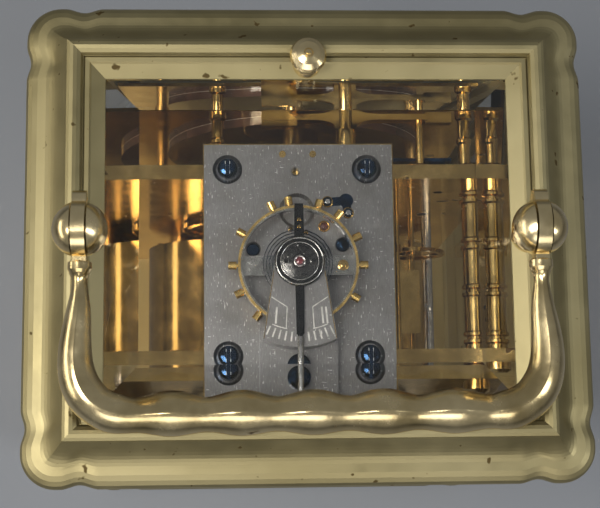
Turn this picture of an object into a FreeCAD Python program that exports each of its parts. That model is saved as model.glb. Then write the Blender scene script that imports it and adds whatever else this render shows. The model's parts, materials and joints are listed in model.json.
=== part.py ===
import FreeCAD, Part
import math
import os

V = FreeCAD.Vector

# ---- overall sizes (mm) ----
WIDTH = 95.0
DEPTH = 81.5
BASE_TOP = 19.0
CORNICE_BOTTOM = 111.0
BAND_Z = 119.0            # middle of the cornice's half-round band
LOBE_R = 5.9              # corner lobe radius
NOTCH_S = 9.8             # notch centre, measured from the corner
NOTCH_HALF = 3.2
NOTCH_DEPTH = 0.7
CORNER_S = 13.0           # straight sides start this far from the corner
BAND_CREASE = 3.1         # offset of the crease inside the band
FRAME_OFFSET = 7.4        # offset where the cornice becomes a plain rectangle
OPENING_OFFSET = 13.8     # offset of the top glass opening
GLASS_FLAT_OFFSET = 19.6  # offset where the top glass bevel ends
PILLAR_OFFSET = 5.2
RUN = 0.05                # radial running clearance

# ---- handle ----
PIVOT_X = 36.85
PIVOT_Z = 132.0
BALL_R = 4.5
EYE_R = 4.7
EYE_T = 2.2
TONGUE = 4.2              # centre of the rounded tongue, in front of the pivot
TONGUE_R = 2.0
EYE_GAP = 0.25            # on each side of the eye, in the ball's slot
GRIP_Y = 29.2
GRIP_DROP = 1.5
BULGE_R = 3.25            # widest and narrowest radius of the scalloped grip
WAIST_R = 2.45
FOOT_R = 3.2
SEAT_UP = 5.4             # knuckle and button seats, above the middle of the band
BUSH_R = 2.55

# ---- movement ----
PLATE_HALF = 35.0
PLATE_TOP = 107.0
FRONT_PLATE = (-15.8, -13.2)
BACK_PLATE = (17.2, 19.6)
PLATFORM_TOP = 109.0
PLATFORM_X = (-15.8, 17.7)
PLATFORM_Y = (-19.1, 24.2)
BALANCE = (1.35, 3.25)
LEVER_PIVOT = (-3.45, -4.25)
ESCAPE = (-7.35, -8.76)
CENTRE = (0.0, 69.0)
GOING = (16.0, 46.0)
STRIKE = (-16.0, 46.0)
CONTRATE = (-7.35, 91.4)
BUTTON = (0.0, -29.6)
LEVER_STUD = (-8.0, 103.6)
DIAL_R = 25.5


# ---- small helpers ----
def cyl(radius, p0, direction, length):
    return Part.makeCylinder(radius, length, V(*p0), V(*direction))


def ycyl(radius, x, z, y0, y1):
    return cyl(radius, (x, y0, z), (0, 1, 0), y1 - y0)


def zcyl(radius, x, y, z0, z1):
    return cyl(radius, (x, y, z0), (0, 0, 1), z1 - z0)


def xcyl(radius, y, z, x0, x1):
    return cyl(radius, (x0, y, z), (1, 0, 0), x1 - x0)


def box(x0, x1, y0, y1, z0, z1):
    return Part.makeBox(x1 - x0, y1 - y0, z1 - z0, V(x0, y0, z0))


def fuse(shapes):
    out = shapes[0].multiFuse(shapes[1:]) if len(shapes) > 1 else shapes[0]
    return out.removeSplitter()


def turned(profile, origin, axis):
    """Solid of revolution: profile is a list of (radius, height) along the axis."""
    points = [V(r, 0, h) for r, h in profile]
    if profile[0][0] > 0:
        points.insert(0, V(0, 0, profile[0][1]))
    if profile[-1][0] > 0:
        points.append(V(0, 0, profile[-1][1]))
    face = Part.Face(Part.makePolygon(points + [points[0]]))
    solid = face.revolve(V(0, 0, 0), V(0, 0, 1), 360)
    solid.Placement = FreeCAD.Placement(V(*origin), FreeCAD.Rotation(V(0, 0, 1), V(*axis)))
    return solid


def prism_y(points, y0, y1):
    """Prism along Y from (x, z) points."""
    wire = Part.makePolygon([V(x, y0, z) for x, z in points] + [V(points[0][0], y0, points[0][1])])
    return Part.Face(wire).extrude(V(0, y1 - y0, 0))


def prism_z(points, z0, z1):
    """Prism along Z from (x, y) points."""
    wire = Part.makePolygon([V(x, y, z0) for x, y in points] + [V(points[0][0], points[0][1], z0)])
    return Part.Face(wire).extrude(V(0, 0, z1 - z0))


def polar(centre, radius, angle):
    return (centre[0] + radius * math.cos(angle), centre[1] + radius * math.sin(angle))


def save(name, shape):
    shape.exportStep("parts/" + name + ".step")


def group(solids):
    return Part.makeCompound(solids)


# ---- case outline with lobed corners ----
def lobed_corner(offset):
    """Half of one corner as (along, inward) points, from the straight side to the diagonal."""
    points = []
    for i in range(13):
        s = CORNER_S - i * (CORNER_S - LOBE_R) / 12.0
        t = max(-1.0, min(1.0, (s - NOTCH_S) / NOTCH_HALF))
        points.append((s, offset + NOTCH_DEPTH * math.cos(math.pi * t / 2.0) ** 2))
    for i in range(1, 7):
        a = i * math.pi / 24.0
        r = LOBE_R - offset
        points.append((LOBE_R - r * math.sin(a), LOBE_R - r * math.cos(a)))
    return points


def plain_corner(offset, count):
    """The same number of points along a plain mitred corner."""
    last = count - 1.0
    return [(CORNER_S - i * (CORNER_S - offset) / last, offset) for i in range(count)]


def corner_points(offset, plain):
    """Blend between the lobed corner (plain = 0) and the square one (plain = 1)."""
    lobed = lobed_corner(min(offset, BAND_CREASE) if plain > 0 else offset)
    square = plain_corner(FRAME_OFFSET if 0 < plain < 1 else offset, len(lobed))
    return [((1 - plain) * a[0] + plain * b[0], (1 - plain) * a[1] + plain * b[1])
            for a, b in zip(lobed, square)]


def outline(offset, z, plain):
    """Closed outline of the case at an inward offset: twelve edges in a fixed order."""
    half = corner_points(offset, plain)
    edges = []
    hw = WIDTH / 2.0
    hd = DEPTH / 2.0
    corners = []
    for sx, sy, swap in ((1, -1, False), (1, 1, True), (-1, 1, False), (-1, -1, True)):
        along_x = [V(sx * (hw - s), sy * (hd - d), z) for s, d in half]
        along_y = [V(sx * (hw - d), sy * (hd - s), z) for s, d in half]
        if swap:
            corners.append((along_y, along_x[::-1]))
        else:
            corners.append((along_x, along_y[::-1]))
    for k in range(4):
        first, second = corners[k]
        for run in (first, second):
            if plain == 1:
                edges.append(Part.makeLine(run[0], run[-1]))
            else:
                curve = Part.BSplineCurve()
                curve.interpolate(run)
                edges.append(curve.toShape())
        edges.append(Part.makeLine(second[-1], corners[(k + 1) % 4][0][0]))
    return edges


def moulding(levels):
    """Solid block through (offset, z, plain) levels, from the lowest to the highest."""
    wires = [Part.Wire(outline(o, z, p)) for o, z, p in levels]
    return Part.makeLoft(wires, True, True)


def rectangle(offset, z):
    x = WIDTH / 2.0 - offset
    y = DEPTH / 2.0 - offset
    return Part.makePolygon([V(-x, -y, z), V(x, -y, z), V(x, y, z), V(-x, y, z), V(-x, -y, z)])


def stepped_block(levels):
    """Plain rectangular block through (offset, z) levels, with mitred corners."""
    return Part.makeLoft([rectangle(o, z) for o, z in levels], True, True)


def cavetto(z0, z1, steps):
    """Levels of the hollow moulding between the band's crease and the plain rectangle."""
    out = []
    for i in range(1, steps + 1):
        t = i / float(steps)
        offset = BAND_CREASE + (FRAME_OFFSET - BAND_CREASE) * t
        out.append((offset, z0 + (z1 - z0) * (1 - math.cos(t * math.pi / 2.0)), t))
    return out


# ---- case ----
def cornice_frame():
    """Top of the case: lobed moulding with the rebate for the top glass and seats for button and handle."""
    z = BAND_Z
    neck = PILLAR_OFFSET - 0.7
    levels = [(neck, CORNICE_BOTTOM, 0), (neck, z - 6.4, 0), (3.6, z - 5.2, 0), (2.6, z - 4.3, 0),
              (1.6, z - 3.7, 0), (1.4, z - 2.0, 0), (0.6, z - 1.6, 0), (0.15, z - 0.9, 0), (0.0, z, 0),
              (0.15, z + 0.9, 0), (0.55, z + 1.6, 0), (1.3, z + 2.2, 0), (2.2, z + 2.6, 0),
              (BAND_CREASE, z + 2.7, 0)]
    levels += cavetto(z + 2.7, z + 6.8, 8)
    block = moulding(levels)
    bead = stepped_block([(7.4, z + 6.0), (7.4, z + 7.1), (7.6, z + 7.6), (8.1, z + 7.95), (8.7, z + 8.1)])
    opening = stepped_block([(OPENING_OFFSET, z - 9), (OPENING_OFFSET, z + 5.4), (11.6, z + 6.6),
                             (11.3, z + 6.9), (10.25, z + 6.95), (9.9, z + 7.6), (9.3, z + 8.0),
                             (8.7, z + 8.1), (8.7, z + 9)])
    groove = stepped_block([(10.3, z + 6.2), (10.3, z + 8)])
    groove = groove.cut(stepped_block([(10.6, z + 6), (10.6, z + 9)]))
    rebate = stepped_block([(12.2, z - 9), (12.2, z + 3.4)])
    holes = [zcyl(2.2, BUTTON[0], BUTTON[1], z - 10.0, z + 9.0),
             zcyl(BUSH_R, BUTTON[0], BUTTON[1], z + SEAT_UP, z + 9.0),
             zcyl(0.75, DOOR_PIN[0], DOOR_PIN[1], z - 9, CORNICE_BOTTOM + 4)]
    for side in (-1, 1):
        holes.append(zcyl(1.5, side * PIVOT_X, 0, z + 1.0, z + 9.0))
        holes.append(zcyl(FOOT_R, side * PIVOT_X, 0, z + SEAT_UP, z + 9.0))
    return block.fuse(bead).cut(opening).cut(groove).cut(rebate).cut(group(holes))


def base_plinth():
    """Hollow foot of the case, with a moulding like the cornice's."""
    levels = [(1.0, 0.0, 0), (0.3, 0.5, 0), (0.0, 1.4, 0), (0.0, 3.2, 0), (0.25, 4.2, 0),
              (0.9, 4.9, 0), (2.0, 5.3, 0), (BAND_CREASE, 5.4, 0)]
    levels += cavetto(5.4, 11.4, 8)
    lower = moulding(levels)
    roll = stepped_block([(7.4, 11.0), (7.4, 12.0), (6.9, 12.3), (6.5, 12.9), (6.4, 13.6), (6.6, 14.3),
                          (7.0, 14.8), (7.0, 15.2)])
    neck = PILLAR_OFFSET - 0.7
    upper = moulding([(neck, 15.0, 0), (neck, BASE_TOP - 0.6, 0), (PILLAR_OFFSET - 0.2, BASE_TOP, 0)])
    body = lower.fuse(roll).fuse(upper).cut(stepped_block([(13.5, -1), (13.5, 25)]))
    holes = [zcyl(1.5, x, y, -1, 25) for x, y in pillar_centres()]
    holes += [zcyl(2.9, x, y, -1, 12) for x, y in pillar_centres()]
    holes.append(zcyl(0.75, DOOR_PIN[0], DOOR_PIN[1], BASE_TOP - 4, BASE_TOP + 1))
    return body.cut(group(holes))


def pillar_centres():
    x = WIDTH / 2.0 - 10.6
    y = DEPTH / 2.0 - 10.6
    return [(-x, -y), (x, -y), (x, y), (-x, y)]


def base_plate():
    hw = WIDTH / 2.0 - 13.5
    hd = DEPTH / 2.0 - 13.5
    plate = box(-hw, hw, -hd, hd, 13.0, BASE_TOP)
    holes = [zcyl(1.45, x, y, 10, 25) for x, y in movement_screw_places()]
    holes += [zcyl(2.7, x, y, 10, 15.6) for x, y in movement_screw_places()]
    return plate.cut(group(holes))


def movement_screw_places():
    return [(-24.0, 1.0), (24.0, 1.0)]


def span(side, a, b):
    """Range between two distances from the centre, on the given side."""
    return (min(side * a, side * b), max(side * a, side * b))


def corner_pillar(index):
    """Corner pillar: fluted outside, rebated inside for the side glass and the front or back pane."""
    sx, sy = ((-1, -1), (1, -1), (1, 1), (-1, 1))[index]
    hw = WIDTH / 2.0
    hd = DEPTH / 2.0
    low = BASE_TOP - 1
    high = CORNICE_BOTTOM + 1
    outer = Part.Face(Part.Wire(outline(PILLAR_OFFSET, BASE_TOP, 0)))
    column = outer.extrude(V(0, 0, CORNICE_BOTTOM - BASE_TOP))
    column = column.common(box(*span(sx, hw - 13.4, hw), *span(sy, hd - 13.4, hd), BASE_TOP, CORNICE_BOTTOM))
    cuts = []
    for along in (7.2, 12.2):
        cuts.append(zcyl(0.55, sx * (hw - along), sy * (hd - PILLAR_OFFSET + 0.1), 24, 106))
        cuts.append(zcyl(0.55, sx * (hw - PILLAR_OFFSET + 0.1), sy * (hd - along), 24, 106))
    cuts.append(box(*span(sx, 37.9, 40.1), *span(sy, 20, 28.6), low, high))
    cuts.append(box(*span(sx, 20, 35.4), *span(sy, 20, 28.6), low, high))
    if sy < 0:
        cuts.append(box(*span(sx, 30, 35.4), -34.9, -32.8, low, high))
    else:
        cuts.append(box(*span(sx, 30, 35.4), 32.0, 45.0, low, high))
    x, y = pillar_centres()[index]
    cuts += [zcyl(1.5, x, y, low, BASE_TOP + 9), zcyl(1.0, x, y, CORNICE_BOTTOM - 8, high)]
    return column.cut(group(cuts))


def bevelled_pane(width, height, thickness, bevel, lip):
    """Flat pane in the XZ plane, bevelled on its -Y face, back face on Y = 0."""
    def rect(dx, dz, y):
        pts = [V(-dx, y, -dz), V(dx, y, -dz), V(dx, y, dz), V(-dx, y, dz), V(-dx, y, -dz)]
        return Part.makePolygon(pts)
    hw = width / 2.0
    hh = height / 2.0
    return Part.makeLoft([rect(hw, hh, 0), rect(hw, hh, -lip), rect(hw - bevel, hh - bevel, -thickness)],
                         True, True)


def front_glass():
    pane = bevelled_pane(70.6, CORNICE_BOTTOM - BASE_TOP, 2.0, 4.0, 0.8)
    pane.translate(V(0, -32.85, (CORNICE_BOTTOM + BASE_TOP) / 2.0))
    return pane


def side_glass(side):
    pane = bevelled_pane(57.0, CORNICE_BOTTOM - BASE_TOP, 2.0, 4.0, 0.8)
    pane.rotate(V(0, 0, 0), V(0, 0, 1), 90 * side)
    pane.translate(V(side * 38.0, 0, (CORNICE_BOTTOM + BASE_TOP) / 2.0))
    return pane


def top_glass():
    z = BAND_Z
    flange = stepped_block([(12.25, z + 2.0), (12.25, z + 3.4)])
    body = stepped_block([(OPENING_OFFSET + 0.05, z + 2.0), (OPENING_OFFSET + 0.05, z + 5.1),
                          (GLASS_FLAT_OFFSET, z + 7.0)])
    notch = zcyl(BUSH_R + 0.05, BUTTON[0], BUTTON[1], z, z + 9)
    return fuse([flange, body]).cut(notch)


DOOR_X = 35.0
DOOR_Z = (19.4, 110.6)
DOOR_Y = (32.6, 35.4)
DOOR_PIN = (33.3, 34.0)


def back_door_frame():
    x = DOOR_X
    outer = box(-x, x, DOOR_Y[0], DOOR_Y[1], DOOR_Z[0], DOOR_Z[1])
    hole = box(-x + 5, x - 5, 30, 40, DOOR_Z[0] + 5, DOOR_Z[1] - 5)
    rebate = box(-x + 3.8, x - 3.8, 30, DOOR_Y[0] + 1.4, DOOR_Z[0] + 3.8, DOOR_Z[1] - 3.8)
    edge = box(DOOR_PIN[0], x + 1, DOOR_Y[0] - 1, DOOR_Y[1] + 1, 0, 130)
    barrel = zcyl(1.4, DOOR_PIN[0], DOOR_PIN[1], DOOR_Z[0], DOOR_Z[1])
    pins = zcyl(0.75 + RUN, DOOR_PIN[0], DOOR_PIN[1], DOOR_Z[0] - 1, DOOR_Z[0] + 4)
    pins2 = zcyl(0.75 + RUN, DOOR_PIN[0], DOOR_PIN[1], DOOR_Z[1] - 4, DOOR_Z[1] + 1)
    knob_hole = ycyl(0.8, -32.4, 66, 30, 40)
    frame = outer.cut(edge).fuse(barrel).cut(group([hole, rebate])).cut(group([pins, pins2, knob_hole]))
    return frame.removeSplitter()


def back_door_glass():
    x = DOOR_X - 3.9
    pane = bevelled_pane(2 * x, DOOR_Z[1] - DOOR_Z[0] - 7.8, 1.3, 4.0, 0.5)
    pane.translate(V(0, DOOR_Y[0] + 1.35, (DOOR_Z[0] + DOOR_Z[1]) / 2.0))
    return pane


def door_hinge_pins():
    x, y = DOOR_PIN
    return group([zcyl(0.75, x, y, BASE_TOP - 4, DOOR_Z[0] + 3.5),
                  zcyl(0.75, x, y, DOOR_Z[1] - 3.5, CORNICE_BOTTOM + 4)])


def door_knob():
    return turned([(0.8, -2.9), (0.8, 0.0), (1.5, 0.0), (1.2, 0.5), (1.6, 1.1), (1.7, 1.6), (1.2, 2.2),
                   (0.4, 2.4)], (-32.4, DOOR_Y[1], 66), (0, 1, 0))


def base_screws():
    """Screws from below into the corner pillars, and those that hold the movement."""
    out = []
    for x, y in pillar_centres():
        screw = zcyl(2.8, x, y, 9.8, 12.0).fuse(zcyl(1.48, x, y, 12.0, BASE_TOP + 8))
        out.append(screw.cut(box(x - 3, x + 3, y - 0.4, y + 0.4, 9, 10.8)))
    for x, y in movement_screw_places():
        screw = zcyl(2.6, x, y, 13.8, 15.6).fuse(zcyl(1.43, x, y, 15.6, 26.0))
        out.append(screw.cut(box(x - 3, x + 3, y - 0.4, y + 0.4, 13, 14.7)))
    return group(out)


# ---- handle ----
def knuckle(side):
    x = side * PIVOT_X
    ball = Part.makeSphere(BALL_R, V(x, 0, PIVOT_Z))
    foot = turned([(1.5, -4.3), (1.5, 0), (FOOT_R, 0), (FOOT_R, 1.6), (2.9, 2.2), (2.6, 2.9), (2.6, 4.0)],
                  (x, 0, BAND_Z + SEAT_UP), (0, 0, 1))
    half = EYE_T / 2.0 + EYE_GAP
    slot = box(x - half, x + half, -9, 9, PIVOT_Z - TONGUE - TONGUE_R - 0.2, PIVOT_Z + 6)
    pin = xcyl(0.9, 0, PIVOT_Z, x - 6, x + 6)
    return fuse([ball, foot]).cut(slot).cut(pin)


def handle_sections():
    """(x, y, radius) of the bail from one collar to the other."""
    half = [(PIVOT_X, 7.0, 1.55), (PIVOT_X, 8.4, 1.1), (PIVOT_X, 10.2, 1.3), (37.0, 13.0, 1.75),
            (37.35, 16.6, 2.15), (37.5, 20.2, 2.45), (37.0, 23.6, 2.7), (35.4, 26.6, 2.85), (32.9, 28.5, 2.85)]
    x = 29.6
    while x > 0.5:
        wave = 0.5 + 0.5 * math.cos(2 * math.pi * x / 11.2)
        half.append((x, GRIP_Y + 0.2 * (1 - wave), WAIST_R + (BULGE_R - WAIST_R) * wave ** 0.8))
        x -= 1.4
    middle = [(0.0, GRIP_Y, BULGE_R)]
    return half + middle + [(-a, b, c) for a, b, c in half[::-1]]


def handle_section(centre, direction, radius):
    """Rounded diamond across the bail, with its ridges on top, below and at both sides."""
    ahead = direction.normalize()
    up = V(0, 0, 1)
    side = ahead.cross(up)
    points = []
    for i in range(24):
        a = 2 * math.pi * i / 24.0
        reach = 1.12 * radius
        u = math.copysign(abs(math.cos(a)) ** 1.36, math.cos(a)) * reach
        v = math.copysign(abs(math.sin(a)) ** 1.36, math.sin(a)) * reach
        points.append(centre + up * u + side * v)
    curve = Part.BSplineCurve()
    curve.interpolate(Points=points, PeriodicFlag=True)
    return Part.Wire(curve.toShape())


def handle():
    """Bail with a scalloped grip; each end is an eye in its ball, with a tongue in front."""
    rows = handle_sections()
    wires = []
    for i, (x, y, radius) in enumerate(rows):
        before = rows[max(i - 1, 0)]
        after = rows[min(i + 1, len(rows) - 1)]
        direction = V(after[0] - before[0], after[1] - before[1], 0)
        if i == 0:
            direction = V(0, 1, 0)
        if i == len(rows) - 1:
            direction = V(0, -1, 0)
        wires.append(handle_section(V(x, y, 0), direction, radius))
    bail = Part.makeLoft(wires, True, False)
    pieces = [bail]
    for side in (-1, 1):
        x = side * PIVOT_X
        eye = xcyl(EYE_R, 0, 0, x - EYE_T / 2.0, x + EYE_T / 2.0)
        neck = box(x - EYE_T / 2.0, x + EYE_T / 2.0, 2, 5.6, -1.5, 1.5)
        tongue = xcyl(TONGUE_R, -TONGUE, 0, x - EYE_T / 2.0, x + EYE_T / 2.0)
        collar = turned([(1.4, 5.0), (1.9, 5.3), (1.95, 6.4), (1.55, 7.05)], (x, 0, 0), (0, 1, 0))
        pieces += [eye, neck, tongue, collar]
    body = fuse(pieces)
    for side in (-1, 1):
        body = body.cut(xcyl(0.9 + RUN, 0, 0, side * PIVOT_X - 3, side * PIVOT_X + 3))
    body.rotate(V(0, 0, 0), V(1, 0, 0), -math.degrees(math.atan2(GRIP_DROP, GRIP_Y)))
    body.translate(V(0, 0, PIVOT_Z))
    return body


def handle_pivot_pins():
    out = []
    for side in (-1, 1):
        x = side * PIVOT_X
        pin = xcyl(0.9, 0, PIVOT_Z, x - 3.9, x + 3.9)
        out.append(pin)
    return group(out)


# ---- repeat button ----
def button_bush():
    x, y = BUTTON
    bush = turned([(2.2, -8.0), (2.2, SEAT_UP), (BUSH_R, SEAT_UP), (BUSH_R, 7.6), (2.2, 8.0)],
                  (x, y, BAND_Z), (0, 0, 1))
    return bush.cut(zcyl(1.2 + RUN, x, y, 100, 140))


def repeat_button():
    x, y = BUTTON
    top = BAND_Z + 9.4
    head = turned([(1.2, 0.0), (3.0, 0.0), (3.05, 0.7), (2.75, 1.5), (2.0, 2.1), (1.0, 2.4), (0.75, 2.45),
                   (0.6, 2.25), (0.35, 2.25), (0.25, 2.55)], (x, y, top), (0, 0, 1))
    low = LEVER_STUD[1] + 1.3
    return fuse([head, zcyl(1.2, x, y, low, top + 0.2), Part.makeSphere(1.2, V(x, y, low))])


def repeat_lever():
    """Slim lever with a swelling at its boss, a pad under the button and a pin against its spring."""
    x, z = LEVER_STUD
    y = -25.4
    upper = []
    for i in range(31):
        at = -15.0 + i
        upper.append((x + at, 0.55 + 1.5 * math.exp(-(at / 2.6) ** 2)))
    plan = [(a, y - h) for a, h in upper] + [(a, y + h) for a, h in upper[::-1]]
    arm = prism_z(plan, z - 2.3, z + 0.3)
    boss = ycyl(2.1, x, z - 0.4, y - 2.6, y + 2.2)
    pad = box(-2.2, 7.2, -31.2, -28.2, z - 1.4, z)
    block = box(0.8, 7.2, -31.2, y + 1.6, z - 2.6, z)
    tail = box(x - 19.4, x - 14.6, y - 1.0, y + 1.0, z - 2.1, z - 0.1)
    pin = ycyl(0.75, x - 13.6, z - 1.4, y - 0.2, -17.0)
    body = fuse([arm, boss, pad, block, tail, pin])
    above = box(-40, 40, -40, 0, z + 0.3, z + 6)
    return body.cut(above).cut(ycyl(1.3 + RUN, x, z - 0.4, -40, 0))


def lever_stud():
    sx, sz = LEVER_STUD
    return turned([(1.3, -1.6), (1.3, 3.75), (1.9, 3.75), (1.9, 10.9), (1.2, 10.9), (1.2, 13.5)],
                  (sx, -26.7, sz - 0.4), (0, 1, 0))


def repeat_spring():
    blade = box(-27.5, -16.6, -18.3, -17.7, 99.0, 101.35).fuse(box(-27.0, -24.5, -18.3, -17.9, 96.0, 99.5))
    foot = box(-27.0, -24.5, -18.3, FRONT_PLATE[0], 93.0, 97.0)
    screw = turned([(1.6, 0), (1.6, 0.9), (0.9, 0.9), (0.9, 4.6)], (-25.8, -19.2, 95.0), (0, 1, 0))
    return fuse([blade, foot, screw])


# ---- wheels ----
def gear_points(teeth, module, centre, phase):
    pitch = teeth * module / 2.0
    tip = pitch + 0.75 * module
    mid = pitch + 0.41 * module
    root = max(pitch - 1.15 * module, 0.25 * pitch)
    half = 0.40 * math.pi / teeth
    flank = ((root, -half), (pitch, -half), (mid, -0.86 * half), (tip, -0.45 * half),
             (tip, 0.45 * half), (mid, 0.86 * half), (pitch, half), (root, half))
    out = []
    for k in range(teeth):
        for radius, a in flank:
            out.append(polar(centre, radius, phase + 2 * math.pi * k / teeth + a))
    return out


def crossing(centre, inner, outer, arms, arm_half, phase):
    """Openings between the arms of a wheel, as (x, z) outlines."""
    holes = []
    for k in range(arms):
        a0 = phase + 2 * math.pi * k / arms
        a1 = phase + 2 * math.pi * (k + 1) / arms
        pts = []
        for i in range(9):
            lo = a0 + math.asin(arm_half / outer)
            hi = a1 - math.asin(arm_half / outer)
            pts.append(polar(centre, outer, lo + (hi - lo) * i / 8.0))
        for i in range(7):
            lo = a1 - math.asin(arm_half / inner)
            hi = a0 + math.asin(arm_half / inner)
            pts.append(polar(centre, inner, lo + (hi - lo) * i / 6.0))
        holes.append(pts)
    return holes


def wheel(teeth, module, centre, y0, thickness, phase, arms):
    body = prism_y(gear_points(teeth, module, centre, phase), y0, y0 + thickness)
    pitch = teeth * module / 2.0
    if arms:
        hub = max(1.9, 0.22 * pitch)
        rim = pitch - 1.15 * module - max(0.8, 0.09 * pitch)
        cuts = [prism_y(p, y0 - 1, y0 + thickness + 1)
                for p in crossing(centre, hub, rim, arms, 0.45 + 0.02 * pitch, phase)]
        body = body.cut(group(cuts))
    return body


def pinion(leaves, module, centre, y0, y1, phase):
    return prism_y(gear_points(leaves, module, centre, phase), y0, y1)


def mesh_phase(driver_centre, driver_teeth, driver_phase, centre, teeth):
    """Phase that puts a gear in mesh with its driver."""
    beta = math.atan2(centre[1] - driver_centre[1], centre[0] - driver_centre[0])
    u = ((beta - driver_phase) * driver_teeth / (2 * math.pi)) % 1.0
    return beta + math.pi + (u + 0.5) * 2 * math.pi / teeth


def arbor_place(a, ra, b, rb, side):
    """Point at distance ra from a and rb from b, on the chosen side of the line a-b."""
    dx = b[0] - a[0]
    dz = b[1] - a[1]
    d = math.hypot(dx, dz)
    along = (ra * ra - rb * rb + d * d) / (2 * d)
    high = math.sqrt(ra * ra - along * along)
    return (a[0] + along * dx / d - side * high * dz / d, a[1] + along * dz / d + side * high * dx / d)


# teeth and modules of both trains
GREAT = (80, 0.39)
GREAT_PINION = 12
MIDDLE = (66, 0.33)
CENTRE_PINION = 12
CENTRE_WHEEL = (75, 0.28)
THIRD_PINION = 10
THIRD_WHEEL = (70, 0.30)
CONTRATE_PINION = 10
CONTRATE_WHEEL = (80, 0.21)
ESCAPE_PINION = 7
STRIKE_PINION = 10
PIN_WHEEL = (60, 0.28)
WARN_PINION = 8
WARN_WHEEL = (50, 0.25)
FLY_PINION = 8


def gear_distance(gear, leaves):
    return gear[1] * (gear[0] + leaves) / 2.0


MIDDLE_AT = arbor_place(GOING, gear_distance(GREAT, GREAT_PINION), CENTRE,
                        gear_distance(MIDDLE, CENTRE_PINION), -1)
STRIKE_MIDDLE_AT = (-MIDDLE_AT[0], MIDDLE_AT[1])
THIRD_AT = arbor_place(CENTRE, gear_distance(CENTRE_WHEEL, THIRD_PINION), CONTRATE,
                       gear_distance(THIRD_WHEEL, CONTRATE_PINION), -1)
PIN_AT = polar(STRIKE_MIDDLE_AT, gear_distance(MIDDLE, STRIKE_PINION), math.radians(112))
WARN_AT = polar(PIN_AT, gear_distance(PIN_WHEEL, WARN_PINION), math.radians(128))
FLY_AT = polar(WARN_AT, gear_distance(WARN_WHEEL, FLY_PINION), math.radians(60))


def arbor(at, radius, y0, y1, front_pivot, back_pivot):
    """Arbor with thinner pivots in the two plates."""
    body = ycyl(radius, at[0], at[1], y0, y1)
    return fuse([body, ycyl(0.45, at[0], at[1], front_pivot, y0 + 0.1),
                 ycyl(0.45, at[0], at[1], y1 - 0.1, back_pivot)])


FACE_F = FRONT_PLATE[1] + 0.1
FACE_B = BACK_PLATE[0] - 0.1


def train_arbor(at, radius=0.8):
    return arbor(at, radius, FACE_F, FACE_B, FRONT_PLATE[0] + 0.5, BACK_PLATE[1] - 0.4)


def barrel(at):
    """Spring barrel with its great wheel at the back end, hollow, bored for its arbor."""
    phase = 0.0
    drum = ycyl(14.6, at[0], at[1], -10.6, 14.5)
    teeth = wheel(GREAT[0], GREAT[1], at, 12.4, 1.9, phase, 0)
    inside = ycyl(13.7, at[0], at[1], -9.4, 11.6)
    recess = ycyl(12.6, at[0], at[1], -11, -10.2)
    bore = ycyl(2.0 + RUN, at[0], at[1], -20, 20)
    return drum.fuse(teeth).cut(inside).cut(recess).cut(bore).removeSplitter()


def barrel_arbor(at):
    x, z = at
    core = ycyl(2.0, x, z, -10.9, 14.8)
    hub = ycyl(4.2, x, z, -8.8, 11.0)
    front = ycyl(1.5, x, z, FRONT_PLATE[0] + 0.3, -10.8)
    back = ycyl(1.8, x, z, 14.7, 23.2)
    square = box(x - 1.35, x + 1.35, 23.1, 27.6, z - 1.35, z + 1.35)
    ratchet = ratchet_wheel(at)
    return fuse([core, hub, front, back, square, ratchet])


RATCHET_TEETH = 24
RATCHET_R = 6.4


def ratchet_wheel(at):
    pts = []
    for k in range(RATCHET_TEETH):
        a = 2 * math.pi * k / RATCHET_TEETH
        pts.append(polar(at, RATCHET_R, a))
        pts.append(polar(at, RATCHET_R - 1.0, a + 0.03))
        pts.append(polar(at, RATCHET_R - 0.8, a + 0.10))
    return prism_y(pts, BACK_PLATE[1] + 0.15, BACK_PLATE[1] + 1.35)


def ratchet_clicks():
    out = []
    for at, side in ((GOING, 1), (STRIKE, -1)):
        x = at[0] + side * 1.2
        z = at[1] + RATCHET_R + 0.35
        y = BACK_PLATE[1]
        corners = ((0, 0), (1.6, -0.05), (8.0, 1.6), (8.6, 3.6), (6.0, 4.0))
        lever = prism_y([(x + side * a, z + b) for a, b in corners], y + 0.15, y + 1.35)
        screw_at = (x + side * 7.0, y + 2.2, z + 2.5)
        screw = turned([(1.7, 0), (1.7, 1.0), (0.9, 1.0), (0.9, 3.2)], screw_at, (0, -1, 0))
        out.append(fuse([lever, screw]))
    return group(out)


def middle_wheel():
    phase = mesh_phase(GOING, GREAT[0], 0.0, MIDDLE_AT, GREAT_PINION)
    return fuse([train_arbor(MIDDLE_AT), pinion(GREAT_PINION, GREAT[1], MIDDLE_AT, 12.1, 14.7, phase),
                 wheel(MIDDLE[0], MIDDLE[1], MIDDLE_AT, -12.9, 1.0, 0.0, 5)])


def centre_wheel():
    phase = mesh_phase(MIDDLE_AT, MIDDLE[0], 0.0, CENTRE, CENTRE_PINION)
    body = arbor(CENTRE, 0.9, FACE_F, FACE_B, -14, BACK_PLATE[1] + 0.4)
    front = ycyl(0.8, CENTRE[0], CENTRE[1], -32.3, -13.0)
    square = box(-0.7, 0.7, BACK_PLATE[1] + 0.3, BACK_PLATE[1] + 5.0, CENTRE[1] - 0.7, CENTRE[1] + 0.7)
    return fuse([body, front, square, pinion(CENTRE_PINION, MIDDLE[1], CENTRE, -13.0, -11.4, phase),
                 wheel(CENTRE_WHEEL[0], CENTRE_WHEEL[1], CENTRE, 2.0, 0.9, 0.0, 5)])


def third_wheel():
    phase = mesh_phase(CENTRE, CENTRE_WHEEL[0], 0.0, THIRD_AT, THIRD_PINION)
    return fuse([train_arbor(THIRD_AT, 0.7), pinion(THIRD_PINION, CENTRE_WHEEL[1], THIRD_AT, 1.5, 3.4, phase),
                 wheel(THIRD_WHEEL[0], THIRD_WHEEL[1], THIRD_AT, 8.0, 0.8, 0.0, 5)])


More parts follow.
